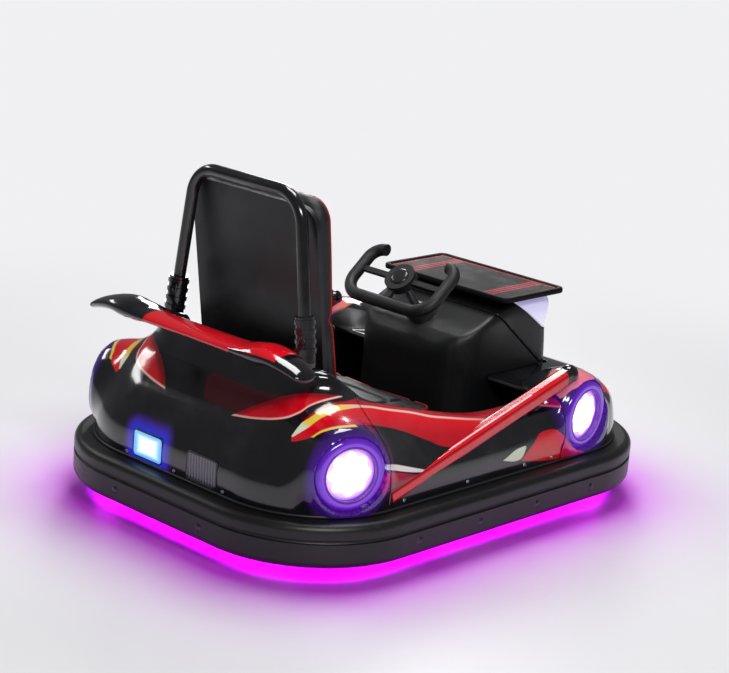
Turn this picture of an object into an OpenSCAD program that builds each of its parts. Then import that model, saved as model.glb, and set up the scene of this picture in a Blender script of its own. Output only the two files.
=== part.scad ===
// Electric bumper car, drift-kart style: one seat, a padded bumper ring all round,
// a steered drive wheel under the console and two swivel casters under the tail.
// +X is forward, +Y is left, +Z is up; the origin is on the floor under the middle.

/* [Bumper ring] */
// Length of the car over the bumper ring
ring_l = 1290; // [1240:5:1360]
// Width of the car over the bumper ring
ring_w = 954; // [930:2:1000]
// Plan radius of the ring's corners
ring_r = 290; // [270:5:310]
// Height of the ring's lower edge above the floor
ring_z = 46; // [40:1:54]
// Height of the ring itself
ring_h = 100; // [90:1:110]
// Thickness of the ring, front to back
ring_t = 62; // [56:1:70]
// Radius of the ring's rounded edges
ring_round = 18; // [10:1:24]

/* [Chassis] */
// Height of the deck plate's underside above the floor
deck_z = 106; // [104:1:110]
// Thickness of the deck plate
deck_t = 4; // [3:0.5:6]
// Width of the sill box behind the ring
sill_w = 78; // [70:1:86]
// Wall of the sill box
sill_t = 4; // [3:0.5:6]
// Side of the square frame tubes
tube_a = 30; // [24:1:34]
// Distance of the long frame tubes in from the ring's side
rail_in = 309; // [301:2:313]

/* [Body shell] */
// Step from the ring's outer face in to the body
body_inset = 48; // [44:1:52]
// Wall of the moulded shells
wall = 5; // [4:0.5:7]
// Height of the rear cowl over the sill
cowl_h = 282; // [260:2:300]
// Length of the rear cowl from the ring's rear face
cowl_l = 285; // [275:2:295]
// Height of the nose over the sill
nose_h = 142; // [130:2:156]
// Length of the nose from the ring's front face
nose_l = 410; // [370:5:440]
// Gap left between neighbouring shells
seam = 0.6; // [0.4:0.1:1.5]
// Width of the rounded cockpit rim
rim_w = 40; // [34:1:44]

/* [Corner lamps] */
// Distance of the rear corner lamps from the ring's rear face
rear_lamp_in = 187; // [184:1:190]
// Strip of shell between the nose's rear seam and the front lamp pods
front_lamp_gap = 4; // [2:1:8]
// Height of the corner lamps' middle above the floor
corner_lamp_z = 242; // [238:1:246]
// Radius of the pod round a corner lamp
pod_r = 84; // [76:1:84]
// Radius of a corner lamp's lens
lens_r = 59; // [54:1:62]
// Depth of a pod behind its lens
pod_depth = 56; // [46:2:56]
// Distance of the rear lenses in from the ring's side
rear_lens_in = 75; // [71:1:79]
// Distance of the front lenses in from the ring's side
front_lens_in = 57; // [53:1:61]
// Angle by which the rear lamps look backwards
rear_lamp_yaw = 20; // [14:1:22]
// Angle by which the front lamps look forwards
front_lamp_yaw = 5; // [2:1:8]

/* [Rear windows] */
// Width of a rear window
window_w = 94; // [80:2:104]
// Height of a rear window
window_h = 58; // [50:2:62]
// Distance of a rear window's middle from the car's middle
window_y = 90; // [80:2:110]
// Height of the rear windows' middle above the floor
window_z = 188; // [184:1:192]

/* [Wing] */
// Span of the rear grab wing over its tips
wing_span = 700; // [660:10:740]
// Distance of the wing's middle line from the ring's rear face
wing_in = 97; // [89:2:105]
// Height of the wing's middle line over the rear cowl
wing_up = 44; // [34:2:60]
// Depth of the wing, front to back
wing_chord = 92; // [80:2:100]
// Thickness of the wing, which its lobes and tips are measured by
wing_t = 32; // [26:1:36]
// Drop of the wing tips under the middle
wing_droop = 24; // [16:2:34]
// Length of each black tip
tip_l = 120; // [100:5:130]

/* [Seat] */
// Width of the seat shell
seat_w = 424; // [400:4:440]
// Height of the seat base over the deck
seat_h = 92; // [80:2:100]
// Gap between the seat base and the console
knee_gap = 58; // [48:5:78]
// Thickness of the seat cushion
cushion_t = 58; // [50:2:66]
// Thickness of the back pad
pad_t = 62; // [54:2:70]
// Height of the back pad along its slope
pad_h = 580; // [560:5:590]
// Width of the back pad
pad_w = 392; // [370:4:400]
// Backward lean of the back pad
pad_lean = 9; // [6:1:11]

/* [Hoop] */
// Diameter of the hoop tube behind the back pad
hoop_d = 28; // [24:1:32]
// Height of the hoop's top above the floor
hoop_z = 812; // [800:2:830]
// Half the distance between the tops of the hoop's legs
hoop_y = 176; // [168:2:184]
// Bend radius of the hoop's corners
hoop_bend = 74; // [60:2:84]
// Outward slope of the hoop's legs
hoop_splay = 8; // [4:1:10]
// Length of the ribbed sleeve at the foot of each leg
sleeve_l = 104; // [90:2:120]

/* [Console] */
// Distance of the console's front face from the ring's front face
console_in = 163; // [155:1:169]
// Length of the console
console_l = 364; // [350:2:370]
// Width of the console
console_w = 368; // [350:2:380]
// Height of the console's top above the floor
console_z = 470; // [460:2:480]
// Thickness of the dash tray on top
tray_t = 14; // [10:1:18]
// Width of the dash tray
tray_w = 410; // [396:2:424]
// Length of the dash tray
tray_l = 230; // [220:2:240]

/* [Steering] */
// Width of the steering yoke over its grips
yoke_w = 300; // [280:4:320]
// Diameter of the yoke's grips
grip_d = 30; // [26:1:34]
// Slope of the steering shaft above the horizontal
column_slope = 50; // [48:1:52]
// Diameter of the steering shaft
shaft_d = 20; // [16:1:22]
// Running clearance between shaft and bush
bush_clear = 0.05; // [0.03:0.01:0.1]

/* [Drive wheel] */
// Distance of the drive unit's upright steering axis from the ring's front face
drive_in = 315; // [307:1:323]
// Diameter of the drive tyre
drive_d = 200; // [190:2:204]
// Width of the drive tyre
drive_w = 62; // [54:2:66]

/* [Casters] */
// Distance of the casters' swivel axes from the ring's rear face
caster_in = 199; // [195:1:209]
// Distance of the casters' swivel axes in from the ring's side
caster_side_in = 209; // [205:1:215]
// Diameter of a caster wheel
caster_d = 74; // [70:1:76]
// Width of a caster wheel
caster_w = 30; // [26:1:32]
// Trail of a caster wheel behind its swivel axis
caster_trail = 30; // [24:1:32]

/* [Hidden] */
$fn = 64;

// Clearance between curved faces that sit against each other
fit = 0.3;
rear_x = -ring_l / 2;
front_x = ring_l / 2;
half_w = ring_w / 2;
cowl_x = rear_x + cowl_l;
nose_x = front_x - nose_l;
console_front_x = front_x - console_in;
console_x = console_front_x - console_l;
seat_front_x = console_x - knee_gap;
drive_x = front_x - drive_in;
caster_x = rear_x + caster_in;
caster_y = half_w - caster_side_in;
rail_y = half_w - rail_in;
deck_top = deck_z + deck_t;
base_z = ring_z + ring_h + 2;
sill_in = ring_t + sill_w;
tube_z = deck_z - tube_a;
sill_out = ring_t + fit;
cowl_top = base_z + cowl_h;
nose_top = base_z + nose_h;
wing_x = rear_x + wing_in;
wing_z = cowl_top + wing_up;
// Longer than anything that a cut has to pass through
through = 1000;

// Heights over the sill and insets from the ring's outer face up the rear cowl
cowl_rows = [[0, 0], [0.21, 0], [0.37, 0.12], [0.53, 0.34], [0.66, 0.60], [0.76, 0.78],
    [0.87, 0.88], [0.96, 0.93], [1, 1]];
cowl_in = 148;
// The same two columns for the lower, blunter nose
nose_rows = [[0, 0], [0.32, 0.01], [0.65, 0.08], [0.83, 0.24], [0.93, 0.48], [0.98, 0.75], [1, 1]];
nose_in = 150;
// Radius of the rounded edge where the rear cowl's top turns down to the seat
cowl_round = 45;
// Fenders round the lamps. Columns: distance behind the lens's face, radius
rear_fender = [[4, pod_r + 5], [14, pod_r + 13], [40, pod_r + 22], [80, pod_r + 34], [130, pod_r + 54]];
front_fender = [[4, pod_r + 5], [16, pod_r + 13], [50, pod_r + 17], [90, pod_r + 12], [130, pod_r - 6],
    [158, pod_r - 46], [168, 0]];
// Height of the cockpit rim over the sill at shares of the way from cowl to nose
rim_rows = [[0, 210], [0.27, 177], [0.58, 141], [0.82, 137], [1, 141]];

// Catmull-Rom value between rows b and c
function blend(a, b, c, d, t) = 0.5 * (2 * b + (c - a) * t + (2 * a - 5 * b + 4 * c - d) * t * t
    + (3 * b - a - 3 * c + d) * t * t * t);
// Rows with n steps of a smooth curve put between each two
function smooth(rows, n) = [for (i = [0:len(rows) - 2], s = [0:n - 1])
    blend(rows[max(i - 1, 0)], rows[i], rows[i + 1], rows[min(i + 2, len(rows) - 1)], s / n),
    rows[len(rows) - 1]];
// Points of an arc
function arc(cx, cy, r, a0, a1, n) = [for (k = [0:n]) let (a = a0 + (a1 - a0) * k / n)
    [cx + r * cos(a), cy + r * sin(a)]];
// Inset of the cowl's outer face at a height over the sill
function cowl_inset(z) = body_inset + cowl_in * lookup(z / cowl_h, cowl_rows);

// Solid skin through closed sections of equal length, its two ends closed by fans
module skin(sections) {
    n = len(sections[0]);
    m = len(sections);
    polyhedron(
        points = [for (s = sections, p = s) p],
        faces = concat([for (i = [1:n - 2]) [0, i, i + 1]],
            [for (i = [1:n - 2]) [(m - 1) * n, (m - 1) * n + i + 1, (m - 1) * n + i]],
            [for (j = [0:m - 2], i = [0:n - 1]) [j * n + i, (j + 1) * n + i, (j + 1) * n + (i + 1) % n]],
            [for (j = [0:m - 2], i = [0:n - 1]) [j * n + i, (j + 1) * n + (i + 1) % n, j * n + (i + 1) % n]]),
        convexity = 8);
}

// Round-cornered outline in plan, inset from the ring's outer face
module ring_outline(inset) {
    r = ring_r - inset;
    for (x = [-1, 1], y = [-1, 1])
        translate([x * (ring_l / 2 - ring_r), y * (ring_w / 2 - ring_r)]) circle(r);
    square([ring_l - 2 * ring_r, ring_w - 2 * inset], center = true);
    square([ring_l - 2 * inset, ring_w - 2 * ring_r], center = true);
}

// Plate with that outline
module ring_plate(inset, z, h) {
    translate([0, 0, z]) linear_extrude(h) ring_outline(inset);
}

// Band between two insets
module ring_band(outer, inner, z, h) {
    translate([0, 0, z]) linear_extrude(h) difference() {
        ring_outline(outer);
        ring_outline(inner);
    }
}

// Profile drawn at X = distance from the corner's centre, carried round the plan outline
module ring_sweep() {
    long = ring_l - 2 * ring_r;
    wide = ring_w - 2 * ring_r;
    for (i = [0:3]) rotate([0, 0, 90 * i]) {
        span = i % 2 == 0 ? wide : long;
        out = i % 2 == 0 ? long / 2 : wide / 2;
        translate([out, span / 2, 0]) rotate_extrude(angle = 90) children();
        translate([out, span / 2, 0]) rotate([90, 0, 0]) linear_extrude(span) children();
    }
}

// Rectangle with one radius on all corners, centred
module soft_rect(w, h, r) {
    for (x = [-1, 1], y = [-1, 1]) translate([x * (w / 2 - r), y * (h / 2 - r)]) circle(r);
    square([w - 2 * r, h], center = true);
    square([w, h - 2 * r], center = true);
}

// Side outline pulled across the whole car
module across() translate([0, half_w, 0]) rotate([90, 0, 0]) linear_extrude(ring_w) children();

// Rod between two points
module rod(a, b, d) {
    v = b - a;
    l = norm(v);
    translate(a) rotate([0, acos(v[2] / l), atan2(v[1], v[0])]) cylinder(d = d, h = l);
}

// Square tube along X or Y
module tube_x(x0, x1, y) {
    translate([x0, y - tube_a / 2, tube_z]) cube([x1 - x0, tube_a, tube_a]);
}
module tube_y(y0, y1, x) {
    translate([x - tube_a / 2, y0, tube_z]) cube([tube_a, y1 - y0, tube_a]);
}

// Radius of the round opening that the drive unit turns in
drive_sweep = norm([drive_d, drive_w]) / 2 + 20;

module frame_tubes() color("dimgray") {
    side = half_w - sill_out - 34;
    ring_band(sill_out + 24, sill_out + 24 + tube_a, tube_z, tube_a);
    for (y = [-1, 1]) tube_x(rear_x + 100, front_x - 100, y * rail_y);
    for (x = [cowl_x + tube_a, (cowl_x + nose_x) / 2, nose_x - 2 * tube_a]) tube_y(-side, side, x);
}

module deck_plate() color([0.09, 0.09, 0.1]) difference() {
    ring_plate(sill_out + sill_t + fit, deck_z, deck_t);
    translate([drive_x, 0, deck_z - 1]) cylinder(r = drive_sweep, h = deck_t + 2);
    for (y = [-1, 1]) translate([caster_x, y * caster_y, deck_z - 1]) {
        cylinder(d = 14, h = deck_t + 2);
        caster_bolts(deck_t + 2);
    }
}

module sill_box() color([0.07, 0.07, 0.08]) {
    ring_band(sill_out, sill_out + sill_t, tube_z, base_z - tube_z);
    ring_band(sill_out, sill_in, base_z - sill_t, sill_t);
    ring_band(sill_in - sill_t, sill_in, deck_top, base_z - deck_top);
}

module bumper_ring() color([0.05, 0.05, 0.055]) {
    ring_sweep() translate([ring_r - ring_t, ring_z]) {
        difference() {
            union() {
                square([ring_t - ring_round, ring_h]);
                translate([ring_t - ring_round, ring_round]) square([ring_round, ring_h - 2 * ring_round]);
                for (z = [ring_round, ring_h - ring_round])
                    translate([ring_t - ring_round, z]) circle(ring_round);
            }
            translate([ring_t, ring_h * 0.62]) circle(5);
        }
    }
}

module underglow_strip() color([0.9, 0.1, 0.95])
    ring_band(sill_out, sill_out + 12, tube_z - 10, 10);

// Profile of a body end at X = distance from a plan corner's centre, shrunk by g for its hollow
module end_profile(rows, h, in, g) polygon(concat([[0, 0]],
    [for (row = smooth(rows, 2)) [ring_r - body_inset - in * row[1] - g, row[0] * (h - g)]],
    [[0, h - g]]));

// Front half of the body: the profile carried round two corners and along three sides
module body_half(rows, h, in, g) {
    corner_x = front_x - ring_r;
    corner_y = half_w - ring_r;
    translate([0, -corner_y, 0]) cube([corner_x, 2 * corner_y, h - g]);
    translate([corner_x, corner_y, 0]) rotate([90, 0, 0])
        linear_extrude(2 * corner_y) end_profile(rows, h, in, g);
    for (m = [0, 1]) mirror([0, m, 0]) {
        translate([corner_x, corner_y, 0]) rotate_extrude(angle = 90) end_profile(rows, h, in, g);
        translate([0, corner_y, 0]) rotate([90, 0, 90])
            linear_extrude(corner_x) end_profile(rows, h, in, g);
    }
}

// Its end from x_cut on
module body_end(rows, h, in, x_cut, g) translate([0, 0, base_z]) intersection() {
    body_half(rows, h, in, g);
    translate([x_cut, -half_w, 0]) cube([front_x - x_cut, ring_w, h]);
}

// Frame of a corner lamp: Z points out of the lens, the origin is on its face
module at_lamp(x, y, side, yaw) translate([x, side * y, corner_lamp_z])
    rotate([-90 * side, 0, side * yaw]) children();
module at_rear_lamp(side)
    at_lamp(rear_x + rear_lamp_in, half_w - rear_lens_in, side, rear_lamp_yaw) children();
module at_front_lamp(side)
    at_lamp(nose_x + front_lamp_gap + pod_r, half_w - front_lens_in, side, -front_lamp_yaw) children();
module pod_bore() translate([0, 0, -pod_depth - seam]) cylinder(r = pod_r + seam, h = pod_depth + pod_r);

// Fender that carries a lamp pod, turned about the lamp's axis from its rows
module fender(rows) rotate_extrude() polygon(concat([[0, -rows[0][0]]],
    [for (row = smooth(rows, 3)) [row[1], -row[0]]], [[0, -rows[len(rows) - 1][0]]]));

// Body end at the rear with its two fenders
module rear_form() intersection() {
    union() {
        rotate([0, 0, 180]) body_end(cowl_rows, cowl_h, cowl_in, -cowl_x, 0);
        for (side = [-1, 1]) at_rear_lamp(side) fender(rear_fender);
    }
    translate([rear_x, -half_w, base_z]) cube([cowl_l, ring_w, cowl_h]);
}

module rear_cowl() color([0.04, 0.04, 0.05]) difference() {
    rear_form();
    across() translate([cowl_x - cowl_round, cowl_top - cowl_round]) difference() {
        square(2 * cowl_round);
        circle(cowl_round);
    }
    translate([battery_x - 6, -battery_w / 2 - 6, base_z - 1])
        cube([battery_l + 12, battery_w + 12, battery_h + deck_top - base_z + 7]);
    for (side = [-1, 1]) {
        at_rear_lamp(side) pod_bore();
        translate([rear_x + body_inset - 20, side * window_y, window_z]) rotate([0, 90, 0])
            linear_extrude(20 + window_t) soft_rect(window_h + 2 * fit, window_w + 2 * fit, 8);
    }
}

function rim_z(x) = base_z + lookup((x - cowl_x) / (nose_x - cowl_x), rim_rows);
// Cross-section of a side pod at x: outer face, rounded rim, inner face
function pod_section(x) = let (h = rim_z(x) - rim_w / 2 - base_z, low_y = half_w - body_inset,
    rim_y = half_w - cowl_inset(rim_z(x) - base_z), mid_y = rim_y - rim_w / 2)
    concat([for (k = [0:8]) [x, low_y - (low_y - rim_y) * pow(k / 8, 2.4), base_z + h * k / 8]],
        [for (k = [1:8]) let (a = 180 * k / 8)
            [x, mid_y + rim_w / 2 * cos(a), base_z + h + rim_w / 2 * sin(a)]],
        [[x, half_w - sill_in, base_z]]);

module side_pod(side) color([0.75, 0.04, 0.06]) difference() {
    l = nose_x - cowl_x - 2 * seam;
    mirror([0, side < 0 ? 1 : 0, 0]) skin([for (k = [0:12]) pod_section(cowl_x + seam + l * k / 12)]);
    bar_solid(side, fit);
}

module side_pod_left() side_pod(1);
module side_pod_right() side_pod(-1);

module nose_form() intersection() {
    union() {
        body_end(nose_rows, nose_h, nose_in, nose_x, 0);
        for (side = [-1, 1]) at_front_lamp(side) fender(front_fender);
    }
    translate([nose_x, -half_w, base_z]) cube([front_x - nose_x, ring_w, through]);
}

module nose_cowl() color([0.04, 0.04, 0.05]) difference() {
    nose_form();
    translate([-wall, 0, -0.01]) body_end(nose_rows, nose_h, nose_in, nose_x - 1, wall);
    for (side = [-1, 1]) {
        at_front_lamp(side) pod_bore();
        bar_solid(side, fit);
    }
    translate([0, 0, base_z]) linear_extrude(nose_h + 10) console_plan(-seam);
}

// Pod round a corner lamp: a barrel with a rounded rim and a dished face for the lens
pod_rim = 14;
lens_sink = 10;
module lamp_pod() color([0.16, 0.05, 0.3]) rotate_extrude() difference() {
    union() {
        translate([0, -pod_depth]) square([pod_r, pod_depth - 8]);
        translate([0, -8]) square([pod_r - pod_rim, pod_rim]);
        translate([pod_r - pod_rim, -8]) circle(pod_rim);
    }
    translate([-1, -lens_sink]) square([lens_r + 1 + fit, 40]);
    translate([-20, -pod_depth - 1]) square([20, 200]);
}
module pod_rear_left() at_rear_lamp(1) lamp_pod();
module pod_rear_right() at_rear_lamp(-1) lamp_pod();
module pod_front_left() at_front_lamp(1) lamp_pod();
module pod_front_right() at_front_lamp(-1) lamp_pod();

// Domed round lens, seated in a pod's dish
lens_rise = 16;
module lens() translate([0, 0, -lens_sink]) rotate_extrude() intersection() {
    dome_r = 2.2 * lens_r;
    translate([0, lens_rise - dome_r]) circle(dome_r, $fn = 360);
    square([lens_r, 30]);
}
module corner_lenses() color("white") for (side = [-1, 1]) {
    at_rear_lamp(side) lens();
    at_front_lamp(side) lens();
}

window_t = 15;
module rear_window(side) color(side > 0 ? [0.5, 0.75, 1] : [0.3, 0.3, 0.34])
    translate([rear_x + body_inset - 1, side * window_y, window_z]) rotate([0, 90, 0])
        linear_extrude(window_t + 1) soft_rect(window_h, window_w, 8);
module rear_window_left() rear_window(1);
module rear_window_right() rear_window(-1);

// Raised bar that climbs along the flank from the low rear to the high front
bar_a = [cowl_x + 8, half_w - 63, base_z + 28];
bar_b = [nose_x + 47, half_w - 85, nose_top + 52];
bar_wide = 36;
bar_deep = 40;
bar_ball = 46;
// Ball with a small flat at each pole
module ball(d) rotate_extrude() intersection() {
    circle(d = d);
    translate([0, 2 - d / 2]) square([d, d - 4]);
}
module bar_solid(side, grow) {
    v = bar_b - bar_a;
    l = norm(v);
    pitch = atan2(v[2], norm([v[0], v[1]]));
    head = atan2(v[1], v[0]);
    mirror([0, side < 0 ? 1 : 0, 0]) translate(bar_a) rotate([0, 0, head]) rotate([0, -pitch, 0])
        rotate([90, 0, 90]) {
            translate([0, 0, -grow]) linear_extrude(l + 2 * grow)
                soft_rect(bar_deep + 2 * grow, bar_wide + 2 * grow, 12);
            translate([0, 0, l]) ball(bar_ball + 2 * grow);
        }
}
module side_bar(side) color([0.8, 0.05, 0.1]) {
    bar_solid(side, 0);
}
module side_bar_left() side_bar(1);
module side_bar_right() side_bar(-1);

// Wing's size along its half span. Columns: share of the half span, thickness, depth, rise of its middle
wing_rows = smooth([[0, 0.80, 0.80, -4], [0.35, 0.86, 0.84, -4], [0.50, 1.10, 0.94, -2], [0.62, 1.50, 1, 1],
    [0.74, 1.20, 0.97, 2], [0.88, 0.80, 0.82, -8], [1, 0.40, 0.55, -wing_droop]], 4);
function wing_at(y, column) = lookup(abs(y) / (wing_span / 2), [for (row = wing_rows) [row[0], row[column]]]);
// Section of the wing at a distance y from its middle: an ellipse of points
function wing_section(y) = let (thick = wing_t * wing_at(y, 1), chord = wing_chord * wing_at(y, 2),
    z = wing_z + wing_at(y, 3))
    [for (k = [0:19]) let (a = -18 * k) [wing_x + chord / 2 * cos(a), y, z + thick / 2 * sin(a)]];
wing_half = wing_span / 2 - tip_l;
arm_y = 190;
arm_foot_x = wing_x + 104;
arm_foot_y = 172;
arm_foot_d = 46;
module rear_wing() color([0.8, 0.03, 0.08]) {
    skin([for (k = [0:20]) wing_section(-wing_half + 2 * wing_half * k / 20)]);
    for (y = [-1, 1]) hull() {
        translate([wing_x, y * arm_y, wing_z - 2]) sphere(d = wing_t - 4, $fn = 24);
        translate([arm_foot_x, y * arm_foot_y, cowl_top]) cylinder(d = arm_foot_d, h = 14, $fn = 32);
    }
}
module wing_tips() color([0.04, 0.04, 0.05])
    for (s = [-1, 1]) skin([for (k = [0:10]) wing_section(s > 0
        ? wing_half + seam + (tip_l - seam) * k / 10 : -wing_span / 2 + (tip_l - seam) * k / 10)]);

// Seat base and back panel moulded in one
seat_rear_x = cowl_x + 8;
pad_foot = [seat_rear_x + 42, 0, deck_top + seat_h];
panel_t = 12;
module on_back() translate(pad_foot) rotate([0, -pad_lean, 0]) children();
module seat_shell() color([0.06, 0.06, 0.07]) {
    difference() {
        translate([seat_rear_x, -seat_w / 2, deck_top]) cube([seat_front_x - seat_rear_x, seat_w, seat_h]);
        translate([seat_rear_x + wall, -seat_w / 2 + wall, deck_top - 1])
            cube([seat_front_x - seat_rear_x - 2 * wall, seat_w - 2 * wall, seat_h - wall + 1]);
    }
    on_back() translate([-panel_t, 0, pad_h / 2 - 4]) rotate([0, 90, 0])
        linear_extrude(panel_t - fit) soft_rect(pad_h + 2, pad_w + 8, 50);
}

cushion_rear_x = pad_foot[0] + pad_t + 6;
module seat_cushion() color([0.07, 0.07, 0.08])
    translate([(cushion_rear_x + seat_front_x) / 2, 0, deck_top + seat_h + fit])
        linear_extrude(cushion_t) soft_rect(seat_front_x - cushion_rear_x - 6, seat_w - 36, 40);

module back_pad() color([0.06, 0.06, 0.07]) on_back()
    translate([0, 0, pad_h / 2 + 12]) rotate([0, 90, 0]) linear_extrude(pad_t) soft_rect(pad_h, pad_w, 60);

// Tube hoop behind the pad: two splayed legs, two bends and a level top
hoop_x = cowl_x - 68;
sleeve_d = hoop_d + 16;
module back_hoop() color([0.1, 0.1, 0.11]) translate([hoop_x, 0, 0]) rotate([90, 0, 90]) {
    foot_z = cowl_top;
    bend_z = hoop_z - hoop_d / 2 - hoop_bend;
    bend_y = hoop_y - hoop_bend * cos(hoop_splay);
    leg_l = (bend_z + hoop_bend * sin(hoop_splay) - foot_z - 5) / cos(hoop_splay);
    for (m = [0, 1]) mirror([m, 0, 0]) {
        translate([bend_y, bend_z, 0]) rotate([0, 0, hoop_splay]) {
            rotate_extrude(angle = 90 - hoop_splay) translate([hoop_bend, 0]) circle(d = hoop_d);
            translate([hoop_bend, 0, 0]) rotate([90, 0, 0]) {
                cylinder(d = hoop_d, h = leg_l);
                translate([0, 0, leg_l - sleeve_l]) cylinder(d = sleeve_d, h = sleeve_l);
                for (k = [0:3]) translate([0, 0, leg_l - sleeve_l + 6 + k * sleeve_l / 5])
                    cylinder(d = sleeve_d + 5, h = sleeve_l / 10);
            }
        }
        translate([hoop_y + leg_l * sin(hoop_splay), foot_z, 0]) rotate([-90, 0, 0])
            cylinder(d = sleeve_d + 2, h = 12);
    }
    translate([-bend_y, bend_z + hoop_bend, 0]) rotate([0, 90, 0]) cylinder(d = hoop_d, h = 2 * bend_y);
}

// Plan of the console, shrunk by g: wide rounds towards the driver, small ones in front
knee_r = 110;
front_r = 50;
module console_plan(g) {
    hw = console_w / 2 - g;
    l = console_l / 2;
    for (s = [-1, 1]) {
        translate([console_x + knee_r, s * (console_w / 2 - knee_r)]) circle(knee_r - g);
        translate([console_front_x - front_r, s * (console_w / 2 - front_r)]) circle(front_r - g);
    }
    translate([console_x + knee_r, -hw]) square([console_l - knee_r - front_r, 2 * hw]);
    translate([console_x + g, -console_w / 2 + knee_r]) square([l, console_w - 2 * knee_r]);
    translate([console_front_x - l, -console_w / 2 + front_r]) square([l - g, console_w - 2 * front_r]);
}

// Side outline of the console, shrunk by g: upright rear with a round shoulder, rising top, raked front
shoulder_r = 90;
shoulder_z = console_z - 152;
// The top's slope: where it begins and ends ahead of the rear face, and its foot's depth under the top
slope_x = 160;
level_x = 210;
slope_drop = 24;
// The brow in front: how far it stands out and its height; the rake under it: how far in and down it goes
brow_out = 14;
brow_h = 24;
rake_in = 26;
rake_h = 86;
module console_side(g) {
    rear = console_x + g - 1;
    front = console_front_x - g;
    polygon(concat([[rear, deck_top], [rear, shoulder_z]],
        arc(console_x + shoulder_r, shoulder_z, shoulder_r - g, 180, 125, 8),
        [[console_x + slope_x, console_z - slope_drop - g], [console_x + level_x, console_z - g],
        [front + brow_out - 4, console_z - brow_h / 2 - g], [front + brow_out, console_z - brow_h - g],
        [front - rake_in, console_z - rake_h], [front - 4, nose_top], [front + 1, deck_top]]));
}

// Front outline of the console, shrunk by g, with its round upper corners
face_r = 52;
module console_face(g) {
    hw = console_w / 2 - g;
    low = console_z - 2 * face_r;
    translate([-hw - 1, deck_top]) square([2 * hw + 2, low - deck_top]);
    for (s = [-1, 1]) translate([s * (console_w / 2 - face_r), console_z - face_r]) circle(face_r - g);
    translate([face_r - console_w / 2, low]) square([console_w - 2 * face_r, 2 * face_r - g]);
    translate([-hw, low - 1]) square([2 * hw, face_r + 1]);
}

module console_form(g) intersection() {
    translate([0, 0, deck_top]) linear_extrude(console_z) console_plan(g);
    across() console_side(g);
    translate([-console_l, 0, 0]) rotate([90, 0, 90]) linear_extrude(3 * console_l) console_face(g);
}

module console_shell() difference() {
    console_form(0);
    translate([0, 0, -0.01]) console_form(wall);
}

// Region in front of the console's diagonal seam and above the nose
module diagonal_cut(g) across()
    polygon([[console_x + 70 + g, through], [console_x + 96 + g, console_z + 6],
        [console_front_x - 42 + g, nose_top + g], [through, nose_top + g], [through, through]]);

// Region of the console's lamp: a wedge under the tray that widens to the front
lamp_low = 90;
lamp_x = console_x + level_x - 10;
module lamp_wedge(g) across()
    polygon([[lamp_x - g, through], [lamp_x - g, console_z - 2 - g],
        [console_front_x - 40, console_z - lamp_low - g], [through, console_z - lamp_low - g],
        [through, through]]);

module console_cowl() color([0.05, 0.05, 0.055]) difference() {
    console_shell();
    diagonal_cut(0);
    column_hole(shaft_d + 15 + 2 * fit);
}

module console_front() color([0.03, 0.03, 0.035]) difference() {
    intersection() {
        console_shell();
        diagonal_cut(seam);
    }
    lamp_wedge(seam);
}

module front_lamp() color([0.85, 0.85, 0.95]) intersection() {
    console_shell();
    diagonal_cut(seam);
    lamp_wedge(0);
}

module dash_tray() color([0.05, 0.05, 0.06])
    translate([console_front_x + 1 - tray_l / 2, 0, console_z + fit])
        linear_extrude(tray_t) soft_rect(tray_l, tray_w, 20);

// Steering shaft's line: X up across the yoke, Z towards the driver
yoke_c = [console_x - 18, 0, console_z + 36];
hub_t = 22;
hub_d = 78;
spoke_w = 14;
spoke_t = 10;
shaft_l = 190;
bush_l = 84;
module on_column() translate(yoke_c) rotate([0, column_slope - 90, 0]) children();
module column_hole(d) on_column() translate([0, 0, -shaft_l - 70]) cylinder(d = d, h = shaft_l + 10);

module column_bush() color([0.4, 0.4, 0.42]) on_column() difference() {
    translate([0, 0, -hub_t / 2 - shaft_l + 10]) cylinder(d = shaft_d + 15, h = bush_l);
    translate([0, 0, -through / 2]) cylinder(d = shaft_d + 2 * bush_clear, h = through);
}

module steering_shaft() color([0.55, 0.55, 0.57]) on_column()
    translate([0, 0, -hub_t / 2 - shaft_l]) cylinder(d = shaft_d, h = shaft_l);

// Open-topped yoke: two grips hooked inwards at the top, joined by a bar below
module steering_yoke() color([0.06, 0.06, 0.06]) on_column() {
    w = (yoke_w - grip_d) / 2;
    up = 34;
    low = -24;
    low_bend = 52;
    hook = 34;
    cylinder(d = hub_d, h = hub_t, center = true);
    for (m = [0, 1]) mirror([0, m, 0]) {
        translate([low, w, 0]) rotate([0, 90, 0]) cylinder(d = grip_d, h = up - low);
        translate([up, w - hook, 0]) rotate_extrude(angle = 90) translate([hook, 0]) circle(d = grip_d);
        translate([low, w - low_bend, 0]) rotate([0, 0, 90]) rotate_extrude(angle = 90)
            translate([low_bend, 0]) circle(d = grip_d);
        translate([-spoke_w / 2, hub_d / 4, -spoke_t / 2]) cube([spoke_w, w - hub_d / 4, spoke_t]);
    }
    translate([low - low_bend, low_bend - w, 0]) rotate([-90, 0, 0])
        cylinder(d = grip_d, h = 2 * (w - low_bend));
    translate([low - low_bend, -9, -5]) cube([low_bend - low - 10, 18, 10]);
}

// One pedal in the middle of each footwell: a foot plate and a tread that leans forward
pedal_base = 60;
pedal_w = 68;
pedal_l = 96;
pedal_tilt = 30;
pedal_x = console_front_x - pedal_base - 24;
pedal_y = (console_w / 2 + half_w - sill_in) / 2;
module pedals() color([0.3, 0.3, 0.32]) for (s = [-1, 1]) translate([pedal_x, s * pedal_y, deck_top]) {
    translate([0, -pedal_base / 2, 0]) cube([pedal_base, pedal_base, wall]);
    translate([10, 0, 0]) rotate([0, pedal_tilt, 0])
        translate([-3, -pedal_w / 2, wall]) cube([6, pedal_w, pedal_l]);
}

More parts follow.
